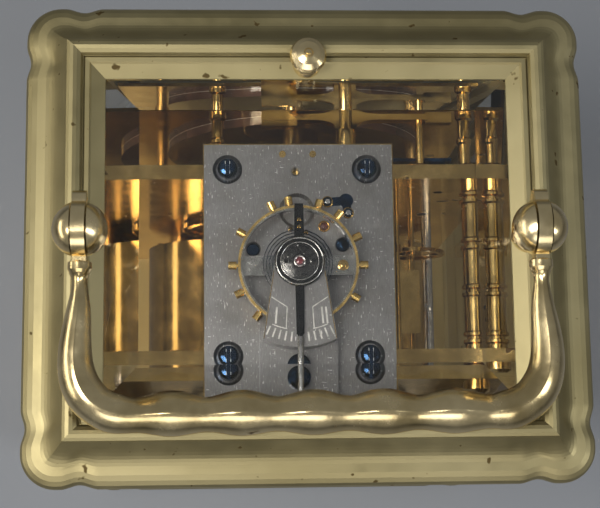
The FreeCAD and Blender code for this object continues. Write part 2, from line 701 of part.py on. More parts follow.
CROWN_TIP_Y = ESCAPE[1] + 0.735 - 0.16


def contrate_wheel():
    phase = mesh_phase(THIRD_AT, THIRD_WHEEL[0], 0.0, CONTRATE, CONTRATE_PINION)
    pitch = CONTRATE_WHEEL[0] * CONTRATE_WHEEL[1] / 2.0
    x, z = CONTRATE
    root = CROWN_TIP_Y + 0.42
    rim = ycyl(pitch + 0.4, x, z, root, root + 1.4).cut(ycyl(pitch - 0.5, x, z, root - 1, root + 3))
    disc = ycyl(pitch + 0.1, x, z, root + 0.7, root + 1.4)
    disc = disc.cut(group([prism_y(p, root - 1, root + 3)
                           for p in crossing(CONTRATE, 1.9, pitch - 1.0, 4, 0.55, math.pi / 4)]))
    tooth_half = 0.40 * math.pi * CONTRATE_WHEEL[1] / 2.0
    shoulder = CROWN_TIP_Y + 0.16
    tooth_pts = [(-tooth_half, root + 0.2), (-tooth_half, shoulder), (-0.45 * tooth_half, CROWN_TIP_Y),
                 (0.45 * tooth_half, CROWN_TIP_Y), (tooth_half, shoulder), (tooth_half, root + 0.2)]
    tooth = prism_z(tooth_pts, pitch - 0.35, pitch + 0.3)
    teeth = []
    for k in range(CONTRATE_WHEEL[0]):
        one = tooth.copy()
        one.rotate(V(0, 0, 0), V(0, 1, 0), 360.0 * k / CONTRATE_WHEEL[0])
        one.translate(V(x, 0, z))
        teeth.append(one)
    crown = rim.fuse(teeth)
    leaves = pinion(CONTRATE_PINION, THIRD_WHEEL[1], CONTRATE, 7.4, 9.6, phase)
    return fuse([train_arbor(CONTRATE, 0.7), leaves, disc, crown])


def strike_middle_wheel():
    phase = mesh_phase(STRIKE, GREAT[0], 0.0, STRIKE_MIDDLE_AT, GREAT_PINION)
    leaves = pinion(GREAT_PINION, GREAT[1], STRIKE_MIDDLE_AT, 12.1, 14.6, phase)
    return fuse([train_arbor(STRIKE_MIDDLE_AT), leaves,
                 wheel(MIDDLE[0], MIDDLE[1], STRIKE_MIDDLE_AT, 15.2, 1.0, 0.0, 5)])


def pin_wheel():
    phase = mesh_phase(STRIKE_MIDDLE_AT, MIDDLE[0], 0.0, PIN_AT, STRIKE_PINION)
    pins = [ycyl(0.3, *polar(PIN_AT, 7.68, 2 * math.pi * k / 8.0 + 0.2), 5.0, 6.6) for k in range(8)]
    return fuse([train_arbor(PIN_AT, 0.7), pinion(STRIKE_PINION, MIDDLE[1], PIN_AT, 14.9, 16.5, phase),
                 wheel(PIN_WHEEL[0], PIN_WHEEL[1], PIN_AT, 4.4, 0.9, 0.0, 4)] + pins)


def warning_wheel():
    phase = mesh_phase(PIN_AT, PIN_WHEEL[0], 0.0, WARN_AT, WARN_PINION)
    return fuse([train_arbor(WARN_AT, 0.6), pinion(WARN_PINION, PIN_WHEEL[1], WARN_AT, 3.9, 5.6, phase),
                 wheel(WARN_WHEEL[0], WARN_WHEEL[1], WARN_AT, -4.0, 0.7, 0.0, 4)])


def fly():
    phase = mesh_phase(WARN_AT, WARN_WHEEL[0], 0.0, FLY_AT, FLY_PINION)
    x, z = FLY_AT
    blade = box(x - 4.2, x + 4.2, 0.5, 12.5, z - 0.25, z + 0.25)
    leaves = pinion(FLY_PINION, WARN_WHEEL[1], FLY_AT, -4.4, -2.9, phase)
    return fuse([train_arbor(FLY_AT, 0.6), leaves, blade])


# ---- plates and their pillars ----
def train_places():
    return [MIDDLE_AT, STRIKE_MIDDLE_AT, THIRD_AT, CONTRATE, PIN_AT, WARN_AT, FLY_AT]


PILLAR_PLACES = ((-24.0, 23.5), (24.0, 23.5), (-31.0, 101.0), (14.4, 99.4))
HAMMER_AT = (-26.5, 73.0)


def plate_outline():
    left, right = -PLATE_HALF, PLATE_HALF
    return [(left, BASE_TOP), (right, BASE_TOP), (right, PLATE_TOP), (left, PLATE_TOP)]


def plate(y0, y1, extra):
    body = prism_y(plate_outline(), y0, y1)
    holes = [ycyl(0.45 + RUN, x, z, y0 - 1, y1 + 1) for x, z in train_places()]
    holes += [ycyl(1.6, x, z, y0 - 1, y1 + 1) for x, z in PILLAR_PLACES]
    return body.cut(group(holes + extra))


def front_plate():
    y0, y1 = FRONT_PLATE
    extra = [ycyl(1.5 + RUN, at[0], at[1], y0 - 1, y1 + 1) for at in (GOING, STRIKE)]
    extra += [ycyl(1.3, *CENTRE, y0 - 1, y1 + 1),
              ycyl(1.2, LEVER_STUD[0], LEVER_STUD[1] - 0.4, y0 - 1, y1 + 1),
              ycyl(0.9, -25.8, 95.0, y0 - 1, y1 + 1), ycyl(1.1, *MINUTE_AT, y0 - 1, y1 + 1),
              ycyl(0.45 + RUN, *HAMMER_AT, y0 - 1, y1 + 1)]
    extra += [ycyl(1.1, x, z, y0 - 1, y1 + 1) for x, z in DIAL_FEET]
    extra += [zcyl(0.95, x, (y0 + y1) / 2.0, 100, 110) for x in PLATFORM_SCREW_X]
    return plate(y0, y1, extra)


def back_plate():
    y0, y1 = BACK_PLATE
    extra = [ycyl(1.8 + RUN, at[0], at[1], y0 - 1, y1 + 1) for at in (GOING, STRIKE)]
    extra += [ycyl(1.05, CENTRE[0], CENTRE[1], y0 - 1, y1 + 1), ycyl(1.0 + RUN, *HAMMER_AT, y0 - 1, y1 + 1)]
    for at, side in ((GOING, 1), (STRIKE, -1)):
        extra.append(ycyl(0.9, at[0] + side * 8.2, at[1] + RATCHET_R + 2.85, y0 - 1, y1 + 1))
    extra += [zcyl(0.95, x, (y0 + y1) / 2.0, 100, 110) for x in PLATFORM_SCREW_X]
    return plate(y0, y1, extra)


def movement_pillars():
    """Turned pillars between the plates; the two lower ones take the screws from the base."""
    out = []
    y0 = FRONT_PLATE[1]
    length = BACK_PLATE[0] - y0
    for x, z in PILLAR_PLACES:
        lower = z < 50
        r = 3.0 if lower else 1.85
        profile = [(1.6, -2.6), (1.6, 0.0), (r, 0.0)]
        for at in (0.08, 0.36, 0.64, 0.92):
            h = at * length
            profile += [(r, h - 1.2), (r + 0.35, h - 0.9), (r + 0.35, h - 0.4), (r - 0.3, h - 0.2),
                        (r - 0.3, h + 0.2), (r + 0.35, h + 0.4), (r + 0.35, h + 0.9), (r, h + 1.2)]
        profile += [(r, length), (1.6, length), (1.6, length + 2.4)]
        body = turned(profile, (x, y0, z), (0, 1, 0))
        if lower:
            body = body.cut(zcyl(1.43, x, 1.0, 18, 26.0))
        out.append(body)
    return group(out)


def plate_screws():
    """Screw heads at both ends of every movement pillar."""
    out = []
    for x, z in PILLAR_PLACES:
        for y, way in ((FRONT_PLATE[0], -1), (BACK_PLATE[1], 1)):
            head = turned([(2.4, 0), (2.4, 0.9), (1.6, 1.4)], (x, y, z), (0, way, 0))
            slot = box(x - 3, x + 3, y + way * 1.15 - 0.3, y + way * 1.15 + 0.3, z - 0.25, z + 0.25)
            out.append(head.cut(slot))
    return group(out)


# ---- platform escapement ----
PLATFORM_SCREW_X = (-11.1, 13.4)


def platform_screw_places():
    return [(x, y) for x in PLATFORM_SCREW_X
            for y in ((FRONT_PLATE[0] + FRONT_PLATE[1]) / 2.0, (BACK_PLATE[0] + BACK_PLATE[1]) / 2.0)]


COCK_FOOT = (1.4, 20.4)
COCK_ARC_R = 14.4         # the cock's table ends in an arc about the balance


def platform():
    """Steel platform: sinks for screws, oil cups, sunk bridge screws, the hollow under the regulator."""
    top = PLATFORM_TOP
    body = box(*PLATFORM_X, *PLATFORM_Y, PLATE_TOP, top)
    holes = []
    for x, y in platform_screw_places():
        holes.append(zcyl(1.1, x, y, 100, 112))
        holes.append(turned([(1.1, -0.6), (2.05, -0.45), (2.6, 0.0), (2.6, 0.2)], (x, y, top), (0, 0, 1)))
    holes.append(zcyl(1.3, BALANCE[0], BALANCE[1], 100, 112))
    holes.append(turned([(2.5, -0.6), (3.1, 0.0), (3.1, 0.1)], (1.3, -7.1, top), (0, 0, 1)))
    for x, y in (LEVER_PIVOT, ESCAPE):
        holes.append(zcyl(0.3 + RUN, x, y, 100, 112))
        holes.append(turned([(0.4, -0.5), (1.0, 0.0), (1.0, 0.1)], (x, y, top), (0, 0, 1)))
    for x, y in SUNK_SCREWS:
        holes.append(zcyl(0.7, x, y, 100, 112))
        holes.append(turned([(1.2, -1.2), (1.2, -0.15), (1.35, 0.0), (1.35, 0.1)], (x, y, top), (0, 0, 1)))
    holes += [zcyl(0.5, x, y, 100, 112) for x, y in END_PIECE_SCREWS]
    steady_hole = [(0.55, -3.0), (0.55, -0.3), (0.85, 0.0), (0.85, 0.1)]
    holes.append(turned(steady_hole, (1.45, -14.1, top), (0, 0, 1)))
    holes += [zcyl(0.6, x, PLATFORM_PIN_Y, 100, 112) for x in PLATFORM_PIN_X]
    holes.append(arc_slot(BALANCE, 5.2, 1.2, 100, 150))
    holes.append(zcyl(1.0, COCK_FOOT[0], COCK_FOOT[1], 100, 112))
    return body.cut(group(holes))


def arc_slot(centre, radius, width, a0, a1):
    pts = []
    for i in range(9):
        pts.append(polar(centre, radius + width / 2.0, math.radians(-(a0 + (a1 - a0) * i / 8.0))))
    for i in range(9):
        pts.append(polar(centre, radius - width / 2.0, math.radians(-(a1 + (a0 - a1) * i / 8.0))))
    return prism_z(pts, 100, 112)


PLATFORM_PIN_X = (-1.62, 3.72)
PLATFORM_PIN_Y = -17.2
SUNK_SCREWS = ((-6.68, -1.0), (9.01, -0.23))
END_PIECE_SCREWS = ((-4.05, -8.5), (-7.64, -6.5))


def platform_pins():
    """Brass pins that come up through the front edge of the platform."""
    return [zcyl(0.6, x, PLATFORM_PIN_Y, PLATE_TOP - 0.3, PLATFORM_TOP + 0.35) for x in PLATFORM_PIN_X]


def platform_screws():
    """Domed screws through the platform into the top edges of both plates."""
    out = []
    for x, y in platform_screw_places():
        profile = [(0.93, -6.5), (0.93, -0.6), (1.7, -0.45), (1.75, 0.9), (1.65, 1.3), (1.3, 1.65), (0.7, 1.8)]
        head = turned(profile, (x, y, PLATFORM_TOP), (0, 0, 1))
        out.append(head.cut(box(x - 0.36, x + 0.36, y - 3, y + 3, PLATFORM_TOP + 0.7, PLATFORM_TOP + 3)))
    return group(out)


def bar(a, b, half, z0, z1):
    """Round-ended bar between two (x, y) points."""
    dx = b[0] - a[0]
    dy = b[1] - a[1]
    d = math.hypot(dx, dy)
    nx = -dy / d * half
    ny = dx / d * half
    sides = [(a[0] + nx, a[1] + ny), (b[0] + nx, b[1] + ny), (b[0] - nx, b[1] - ny), (a[0] - nx, a[1] - ny)]
    strip = prism_z(sides, z0, z1)
    return fuse([strip, zcyl(half, a[0], a[1], z0, z1), zcyl(half, b[0], b[1], z0, z1)])


def escapement_bridge():
    """Lower bridge of lever and balance: two feet, a cross bar and the pivot bar."""
    left, right = SUNK_SCREWS
    low = (99.6, 101.0)
    under = PLATE_TOP
    parts = [zcyl(1.5, *left, low[0], under), zcyl(1.5, *right, low[0], under),
             bar(left, LEVER_PIVOT, 1.3, *low), bar(LEVER_PIVOT, BALANCE, 1.4, *low),
             bar(BALANCE, right, 1.4, *low)]
    holes = [zcyl(0.3 + RUN, LEVER_PIVOT[0], LEVER_PIVOT[1], 90, 103),
             zcyl(0.35 + RUN, BALANCE[0], BALANCE[1], 90, 103)]
    holes += [zcyl(0.7, p[0], p[1], 104, 108) for p in (left, right)]
    return fuse(parts).cut(group(holes))


def escape_potence():
    """Bracket on the back of the front plate that carries the lower pivot of the escape wheel."""
    x = ESCAPE[0]
    wall = FRONT_PLATE[1]
    block = box(x - 3.6, x + 3.6, wall, wall + 2.2, 93.2, 98.0)
    nose = box(x - 1.2, x + 1.2, wall + 1.0, ESCAPE[1] + 1.3, 96.8, 98.0)
    return fuse([block, nose]).cut(zcyl(0.3 + RUN, x, ESCAPE[1], 90, 103))


def bridge_screws():
    """Sunk screws of the bridge, the cock's screw and the two small screws of the escape end-piece."""
    out = []
    top = PLATFORM_TOP
    for x, y in SUNK_SCREWS:
        profile = [(0.68, -4.5), (0.68, -1.2), (1.15, -1.2), (1.15, -0.6), (0.9, -0.45)]
        screw = turned(profile, (x, y, top), (0, 0, 1))
        out.append(screw.cut(box(x - 2, x + 2, y - 0.18, y + 0.18, top - 0.8, top)))
    for x, y in END_PIECE_SCREWS:
        profile = [(0.48, -1.9), (0.48, 0.5), (0.85, 0.5), (0.85, 0.9), (0.6, 1.15)]
        screw = turned(profile, (x, y, top), (0, 0, 1))
        out.append(screw.cut(box(x - 2, x + 2, y - 0.14, y + 0.14, top + 0.85, top + 2)))
    out.append(cock_screw())
    return group(out)


def escape_end_piece():
    """Thin steel plate over the upper pivot of the escape wheel, held by two small screws."""
    first, second = END_PIECE_SCREWS
    z0 = PLATFORM_TOP
    z1 = z0 + 0.5
    arms = [bar(foot, ESCAPE, 0.75, z0, z1) for foot in (first, second)]
    body = fuse(arms + [zcyl(1.25, *ESCAPE, z0, z1)])
    return body.cut(group([zcyl(0.5, x, y, z0 - 1, z1 + 1) for x, y in END_PIECE_SCREWS]))


ESCAPE_R = 3.5
ESCAPE_TEETH = 15


def escape_wheel():
    x, y = ESCAPE
    pts = []
    for k in range(ESCAPE_TEETH):
        a = 2 * math.pi * k / ESCAPE_TEETH
        pts.append(polar(ESCAPE, ESCAPE_R, a))
        pts.append(polar(ESCAPE, ESCAPE_R, a + 0.06))
        pts.append(polar(ESCAPE, ESCAPE_R - 0.95, a + 0.20))
        pts.append(polar(ESCAPE, ESCAPE_R - 1.05, a + 0.33))
    disc = prism_z(pts, 103.6, 104.2)
    windows = [zcyl(0.62, *polar(ESCAPE, 1.55, 2 * math.pi * k / 4.0), 103, 105) for k in range(4)]
    disc = disc.cut(group(windows))
    profile = [(0.3, 96.8), (0.3, 98.1), (0.5, 98.1), (0.5, 106.8), (0.3, 106.9), (0.3, 108.3)]
    staff = turned(profile, (x, y, 0), (0, 0, 1))
    leaves = ESCAPE_PINION
    module = CONTRATE_WHEEL[1]
    points = gear_points(leaves, module, ESCAPE, math.pi / 2 + math.pi / leaves)
    return fuse([disc, staff, prism_z(points, 98.4, 102.4)])


def pallet_lever():
    """Lever with its two pallet stones outside the escape wheel's tooth circle, and the fork."""
    px, py = LEVER_PIVOT
    ux = BALANCE[0] - px
    uy = BALANCE[1] - py
    d = math.hypot(ux, uy)
    ux /= d
    uy /= d

    def at(along, across):
        return (px + ux * along - uy * across, py + uy * along + ux * across)
    z0, z1 = 103.7, 104.3
    arms = []
    for side in (-1, 1):
        outer = [at(0.8, 0), at(0.2, side * 1.6), at(-1.6, side * 3.9), at(-3.15, side * 4.1),
                 at(-3.3, side * 3.45), at(-2.6, side * 3.3), at(-1.9, side * 2.9), at(-0.8, 0)]
        arms.append(prism_z(outer, z0, z1))
    fork_end = d - 1.05
    shaft = prism_z([at(0, 0.55), at(fork_end - 1.0, 0.4), at(fork_end - 1.0, -0.4), at(0, -0.55)], z0, z1)
    fork = prism_z([at(fork_end - 1.3, 0.35), at(fork_end - 0.4, 1.0), at(fork_end + 0.35, 1.1),
                    at(fork_end + 0.3, 0.42), at(fork_end - 0.35, 0.36), at(fork_end - 0.35, -0.36),
                    at(fork_end + 0.3, -0.42), at(fork_end + 0.35, -1.1), at(fork_end - 0.4, -1.0),
                    at(fork_end - 1.3, -0.35)], z0, z1)
    hub = zcyl(0.9, px, py, z0 - 0.3, z1 + 0.3)
    staff = turned([(0.3, 99.8), (0.3, 101.1), (0.45, 101.1), (0.45, 106.8), (0.3, 106.9), (0.3, 108.3)],
                   (px, py, 0), (0, 0, 1))
    return fuse(arms + [shaft, fork, hub, staff])


BALANCE_R = 10.35
BALANCE_SCREW_ANGLES = (0.0, 25.5, 51.0, 71.0, 98.0, 113.5, 150.0)


def balance_wheel():
    """Rim with its cross arm, staff, roller with the impulse pin, and opposite pairs of rim screws."""
    bx, by = BALANCE
    rim = zcyl(BALANCE_R, bx, by, 112.2, 114.0).cut(zcyl(BALANCE_R - 0.75, bx, by, 112, 115))
    arm = box(bx - BALANCE_R + 0.4, bx + BALANCE_R - 0.4, by - 1.7, by + 1.7, 112.4, 113.0)
    hub = zcyl(1.6, bx, by, 112.3, 113.9)
    staff = turned([(0.35, 99.9), (0.35, 101.1), (0.6, 101.1), (0.6, 112.4), (0.8, 112.4), (0.8, 114.2),
                    (0.35, 114.3), (0.35, 115.8)], (bx, by, 0), (0, 0, 1))
    roller = zcyl(1.5, bx, by, 104.6, 105.2)
    dx = LEVER_PIVOT[0] - bx
    dy = LEVER_PIVOT[1] - by
    d = math.hypot(dx, dy)
    pin = zcyl(0.24, bx + dx / d * 1.05, by + dy / d * 1.05, 103.7, 104.7)
    screws = []
    for degrees in BALANCE_SCREW_ANGLES:
        for a in (math.radians(degrees), math.radians(degrees + 180)):
            p = polar(BALANCE, BALANCE_R - 0.15, a)
            screws.append(cyl(0.35, (p[0], p[1], 113.1), (math.cos(a), math.sin(a), 0), 0.5))
            p = polar(BALANCE, BALANCE_R + 0.25, a)
            screws.append(cyl(0.7, (p[0], p[1], 113.1), (math.cos(a), math.sin(a), 0), 1.4))
    return fuse([rim, arm, hub, staff, roller, pin] + screws)


def hairspring():
    """Flat spiral above the balance arm, from the collet to the outer stud."""
    turns = 9.25
    r0 = 1.3
    r1 = 6.2
    steps = 220
    left = []
    right = []
    for i in range(steps + 1):
        t = i / float(steps)
        a = 2 * math.pi * turns * t
        r = r0 + (r1 - r0) * t
        left.append(polar(BALANCE, r + 0.06, a))
        right.append(polar(BALANCE, r - 0.06, a))
    ribbon = prism_z(left + right[::-1], 114.25, 114.75)
    collet = zcyl(1.4, *BALANCE, 114.15, 114.85).cut(zcyl(0.80, *BALANCE, 110, 120))
    return fuse([ribbon, collet])


def balance_cock():
    """Wedge-shaped cock: table over the balance ending in an arc, curved wall behind the wheel, and foot."""
    bx, by = BALANCE
    z0, z1 = 115.0, 116.4
    wedge = [(bx - 4.2, by), (bx - 6.6, by + 15.0), (bx + 6.6, by + 15.0), (bx + 4.2, by)]
    sector = prism_z(wedge, PLATFORM_TOP, z1).common(zcyl(COCK_ARC_R, bx, by, 100, 120))
    sector = sector.cut(zcyl(COCK_ARC_R - 2.0, bx, by, 100, z0))
    table = zcyl(4.2, bx, by, z0, z1)
    foot = box(bx - 6.7, bx + 6.7, by + 9.0, 23.4, PLATFORM_TOP, PLATFORM_TOP + 2.4)
    foot = foot.cut(zcyl(COCK_ARC_R - 2.0, bx, by, 100, 120))
    stud = zcyl(0.35, bx, by + 6.75, 114.2, z0 + 0.1)
    boss = zcyl(1.9, bx, by, z1 - 0.1, 117.15)
    body = fuse([sector, table, foot, stud, boss])
    screw_hole = zcyl(1.0, COCK_FOOT[0], COCK_FOOT[1], 100, 120)
    return body.cut(group([zcyl(0.35 + RUN, bx, by, 110, 120), screw_hole]))


def cock_screw():
    x, y = COCK_FOOT
    top = PLATFORM_TOP + 2.4
    head = turned([(0.98, -4.3), (0.98, 0.0), (2.0, 0.0), (2.0, 1.0), (1.5, 1.3)], (x, y, top), (0, 0, 1))
    return head.cut(box(x - 3, x + 3, y - 0.3, y + 0.3, top + 0.7, top + 2))


def balance_cap():
    """Round end-piece with its setting ring, over the balance pivot."""
    bx, by = BALANCE
    cap = turned([(4.25, 0.0), (4.25, 0.5), (3.9, 0.75), (3.2, 0.75), (3.1, 0.55), (1.3, 0.55), (1.1, 0.75),
                  (0.7, 0.75), (0.5, 0.5)], (bx, by, 117.15), (0, 0, 1))
    screws = [zcyl(0.38, bx + s * 2.3, by, 117.6, 117.95) for s in (-1, 1)]
    return fuse([cap] + screws)


def regulator():
    """Index lever that turns about the balance centre between the cock and the cap."""
    bx, by = BALANCE
    z0, z1 = 116.45, 117.1
    ring = zcyl(3.6, bx, by, z0, z1)
    tail = prism_z([(bx - 0.9, by), (bx - 0.75, by - 10.0), (bx + 0.75, by - 10.0), (bx + 0.9, by)], z0, z1)
    one_side = [(0.8, by), (0.65, by + 12.2), (0.42, by + 12.4), (0.42, 24.2)]
    sides = [(bx - a, y) for a, y in one_side] + [(bx + a, y) for a, y in one_side[::-1]]
    index = prism_z(sides, z0, z1)
    pins = [zcyl(0.14, bx, by - 5.67, 114.2, z1 + 0.2), zcyl(0.14, bx, by - 6.25, 114.2, z1 + 0.2)]
    return fuse([ring, tail, index] + pins).cut(zcyl(1.9 + RUN, bx, by, 110, 120))


# ---- dial work ----
MINUTE_AT = polar(CENTRE, 12.0, math.radians(-125))
CANNON = (12, 0.5)
MINUTE_WHEEL = (36, 0.5)
MINUTE_PINION = (10, 0.48)
HOUR_WHEEL = (40, 0.48)
DIAL_Y = (-28.2, -26.6)
DIAL_FEET = ((-31.0, 95.0), (15.2, 95.0), (-28.0, 40.0), (28.0, 40.0))


def cannon_pinion():
    phase = 0.0
    x, z = CENTRE
    leaves = prism_y(gear_points(CANNON[0], CANNON[1], CENTRE, phase), -18.6, -17.0)
    pipe = ycyl(1.4, x, z, -31.7, -16.4)
    return fuse([leaves, pipe]).cut(ycyl(0.8 + RUN, x, z, -40, 0))


def minute_hand():
    x, z = CENTRE
    y0, y1 = -31.5, -31.0
    pts = [(-0.45, 0), (-0.35, 14.0), (-1.3, 16.2), (-0.3, 18.6), (0.0, 23.4), (0.3, 18.6), (1.3, 16.2),
           (0.35, 14.0), (0.45, 0), (0.35, -6.0), (-0.35, -6.0)]
    hand = prism_y([(x + a, z + b) for a, b in pts], y0, y1)
    boss = ycyl(2.0, x, z, y0, y1)
    return fuse([hand, boss]).cut(ycyl(1.4, x, z, -40, 0))


def hour_hand():
    x, z = CENTRE
    angle = math.radians(-60)
    y0, y1 = -30.3, -29.8
    pts = [(-0.55, 0), (-0.45, 8.0), (-2.2, 10.2), (-0.5, 12.6), (0.0, 15.6), (0.5, 12.6), (2.2, 10.2),
           (0.45, 8.0), (0.55, 0)]
    c = math.cos(angle)
    s = math.sin(angle)
    hand = prism_y([(x + a * c - b * s, z + a * s + b * c) for a, b in pts], y0, y1)
    boss = ycyl(2.8, x, z, y0, y1)
    return fuse([hand, boss]).cut(ycyl(2.1, x, z, -40, 0))


def hour_wheel():
    phase = mesh_phase(MINUTE_AT, MINUTE_PINION[0], 0.0, CENTRE, HOUR_WHEEL[0])
    x, z = CENTRE
    teeth = wheel(HOUR_WHEEL[0], HOUR_WHEEL[1], CENTRE, -21.6, 1.0, phase, 0)
    pipe = ycyl(2.1, x, z, -30.4, -20.4)
    snail = []
    for k in range(12):
        a0 = 2 * math.pi * k / 12.0
        r = 7.6 - 0.32 * k
        snail += [polar(CENTRE, r, a0 + 2 * math.pi / 12.0 * i / 3.0) for i in range(4)]
    steps = prism_y(snail, -22.6, -21.5)
    return fuse([teeth, pipe, steps]).cut(ycyl(1.4 + RUN, x, z, -40, 0))


def minute_wheel():
    phase = mesh_phase(CENTRE, CANNON[0], 0.0, MINUTE_AT, MINUTE_WHEEL[0])
    teeth = wheel(MINUTE_WHEEL[0], MINUTE_WHEEL[1], MINUTE_AT, -18.3, 0.9, phase, 5)
    leaves = prism_y(gear_points(MINUTE_PINION[0], MINUTE_PINION[1], MINUTE_AT, 0.0), -21.9, -17.5)
    return fuse([teeth, leaves]).cut(ycyl(1.1 + RUN, MINUTE_AT[0], MINUTE_AT[1], -40, 0))


def plate_studs():
    """Studs in the front plate for the repeat lever and the minute wheel, and the dial's pillars."""
    x, z = MINUTE_AT
    minute = turned([(1.6, -22.7), (1.6, -22.0), (1.1, -22.0), (1.1, -14.0)], (x, 0, z), (0, 1, 0))
    return group([lever_stud(), minute] + dial_pillars())


def dial():
    x, z = CENTRE
    disc = ycyl(DIAL_R, x, z, DIAL_Y[0], DIAL_Y[1])
    return disc.cut(ycyl(2.1 + 0.4, x, z, -40, 0))


def dial_mask():
    """Gilt surround with a stepped ring about the dial."""
    x, z = CENTRE
    y0, y1 = -29.4, -28.2
    panel = box(-33.6, 33.6, y0 + 0.5, y1, BASE_TOP + 0.5, 97.5)
    profile = [(DIAL_R + 1.2, 0.0), (DIAL_R + 1.0, 0.6), (DIAL_R - 0.6, 0.7)]
    ring = turned(profile, (x, y0 + 0.6, z), (0, -1, 0))
    return fuse([panel, ring]).cut(ycyl(DIAL_R - 0.6, x, z, -40, -20))


def dial_pillars():
    """Four turned pillars between the dial surround and the front plate."""
    out = []
    length = FRONT_PLATE[0] + 28.2
    profile = [(1.6, 0.0), (1.6, 1.0), (1.15, 1.4), (1.15, 4.6), (1.45, 5.0), (1.45, 5.6), (1.15, 6.0),
               (1.15, length - 1.4), (1.6, length - 1.0), (1.6, length), (1.08, length), (1.08, length + 2.4)]
    for x, z in DIAL_FEET:
        out.append(turned(profile, (x, -28.2, z), (0, 1, 0)))
    return out


# ---- hammer and gong ----
GONG_CENTRE = (0.0, 67.0)
GONG_R = 22.0
GONG_Y = 25.3


def gong():
    """Coiled wire gong behind the back plate: half turns of falling radius, the outer end in its block."""
    coils = []
    low = GONG_CENTRE[1] - GONG_R
    high = GONG_CENTRE[1] + GONG_R
    for k in range(5):
        radius = GONG_R - 1.5 * k
        centre = low + radius if k % 2 == 0 else high - radius
        start = low if k % 2 == 0 else high
        section = Part.Face(Part.Wire(Part.makeCircle(0.75, V(0, GONG_Y, start), V(1, 0, 0))))
        coils.append(section.revolve(V(0, 0, centre), V(0, 1, 0), 180))
        low, high = (low, centre + radius) if k % 2 == 0 else (centre - radius, high)
    return fuse(coils)


def gong_block():
    return box(-4.0, 4.0, 22.0, 27.0, BASE_TOP, 46.2)


def hammer():
    """Hammer arbor through the plates, its tail at the pin wheel, its head behind the back plate."""
    x, z = HAMMER_AT
    body = arbor(HAMMER_AT, 1.0, FACE_F, BACK_PLATE[1] + 3.6, FRONT_PLATE[0] + 0.5, BACK_PLATE[1] + 3.7)
    tail = prism_y([(x - 0.6, z), (x + 0.9, z), (x + 1.5, z + 6.0), (x + 0.2, z + 6.0)], 5.6, 6.3)
    arm = prism_y([(x - 0.7, z), (x + 0.7, z), (x + 1.6, z - 12.0), (x + 0.4, z - 12.0)],
                  BACK_PLATE[1] + 2.2, BACK_PLATE[1] + 3.4)
    head = ycyl(2.3, x + 1.0, z - 13.0, BACK_PLATE[1] + 1.8, BACK_PLATE[1] + 7.4)
    return fuse([body, tail, arm, head])


# ---- write every piece ----
os.makedirs("parts", exist_ok=True)
save("cornice_frame", cornice_frame())
save("base_plinth", base_plinth())
save("base_plate", base_plate())
save("corner_pillars", group([corner_pillar(number) for number in range(4)]))
save("handle_knuckles", group([knuckle(side) for side in (-1, 1)]))
save("escapement_bridges", group([escapement_bridge(), escape_potence()] + platform_pins()))
PIECES = {
    "front_glass": front_glass, "top_glass": top_glass, "back_door_frame": back_door_frame,
    "back_door_glass": back_door_glass, "door_hinge_pins": door_hinge_pins, "door_knob": door_knob,
    "base_screws": base_screws, "handle": handle,
    "handle_pivot_pins": handle_pivot_pins, "button_bush": button_bush, "repeat_button": repeat_button,
    "repeat_lever": repeat_lever, "plate_studs": plate_studs, "repeat_spring": repeat_spring,
    "ratchet_clicks": ratchet_clicks, "middle_wheel": middle_wheel, "centre_wheel": centre_wheel,
    "third_wheel": third_wheel, "contrate_wheel": contrate_wheel, "strike_middle_wheel": strike_middle_wheel,
    "pin_wheel": pin_wheel, "warning_wheel": warning_wheel, "fly": fly, "front_plate": front_plate,
    "back_plate": back_plate, "movement_pillars": movement_pillars, "plate_screws": plate_screws,
    "platform": platform, "platform_screws": platform_screws, "bridge_screws": bridge_screws,
    "escape_wheel": escape_wheel, "pallet_lever": pallet_lever, "balance_wheel": balance_wheel,
    "hairspring": hairspring, "balance_cock": balance_cock, "balance_cap": balance_cap,
    "regulator": regulator, "escape_end_piece": escape_end_piece,
    "cannon_pinion": cannon_pinion, "minute_hand": minute_hand, "hour_hand": hour_hand,
    "hour_wheel": hour_wheel, "minute_wheel": minute_wheel, "dial": dial,
    "dial_mask": dial_mask, "gong": gong, "gong_block": gong_block, "hammer": hammer,
}
for piece_name, make in PIECES.items():
    save(piece_name, make())
for side_name, side_sign in (("left", 1), ("right", -1)):
    save("side_glass_" + side_name, side_glass(side_sign))
for train_name, train_at in (("going", GOING), ("strike", STRIKE)):
    save(train_name + "_barrel", barrel(train_at))
    save(train_name + "_arbor", barrel_arbor(train_at))
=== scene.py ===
import json
import math

import bpy
from mathutils import Matrix, Vector


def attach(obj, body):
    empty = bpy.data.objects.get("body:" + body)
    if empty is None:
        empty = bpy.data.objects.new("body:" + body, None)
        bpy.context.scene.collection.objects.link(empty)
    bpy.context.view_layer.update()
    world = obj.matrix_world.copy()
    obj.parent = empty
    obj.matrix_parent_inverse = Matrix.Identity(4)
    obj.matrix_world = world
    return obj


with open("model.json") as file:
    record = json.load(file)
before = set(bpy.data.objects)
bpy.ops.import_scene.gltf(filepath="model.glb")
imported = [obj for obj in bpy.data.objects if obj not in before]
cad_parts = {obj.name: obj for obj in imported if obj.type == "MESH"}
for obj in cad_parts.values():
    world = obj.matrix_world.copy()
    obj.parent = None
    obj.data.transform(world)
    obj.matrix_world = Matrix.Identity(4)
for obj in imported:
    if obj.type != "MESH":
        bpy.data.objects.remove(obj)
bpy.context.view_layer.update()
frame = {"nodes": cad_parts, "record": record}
NODES = frame["nodes"]
SCENE = bpy.context.scene
MM = 0.001

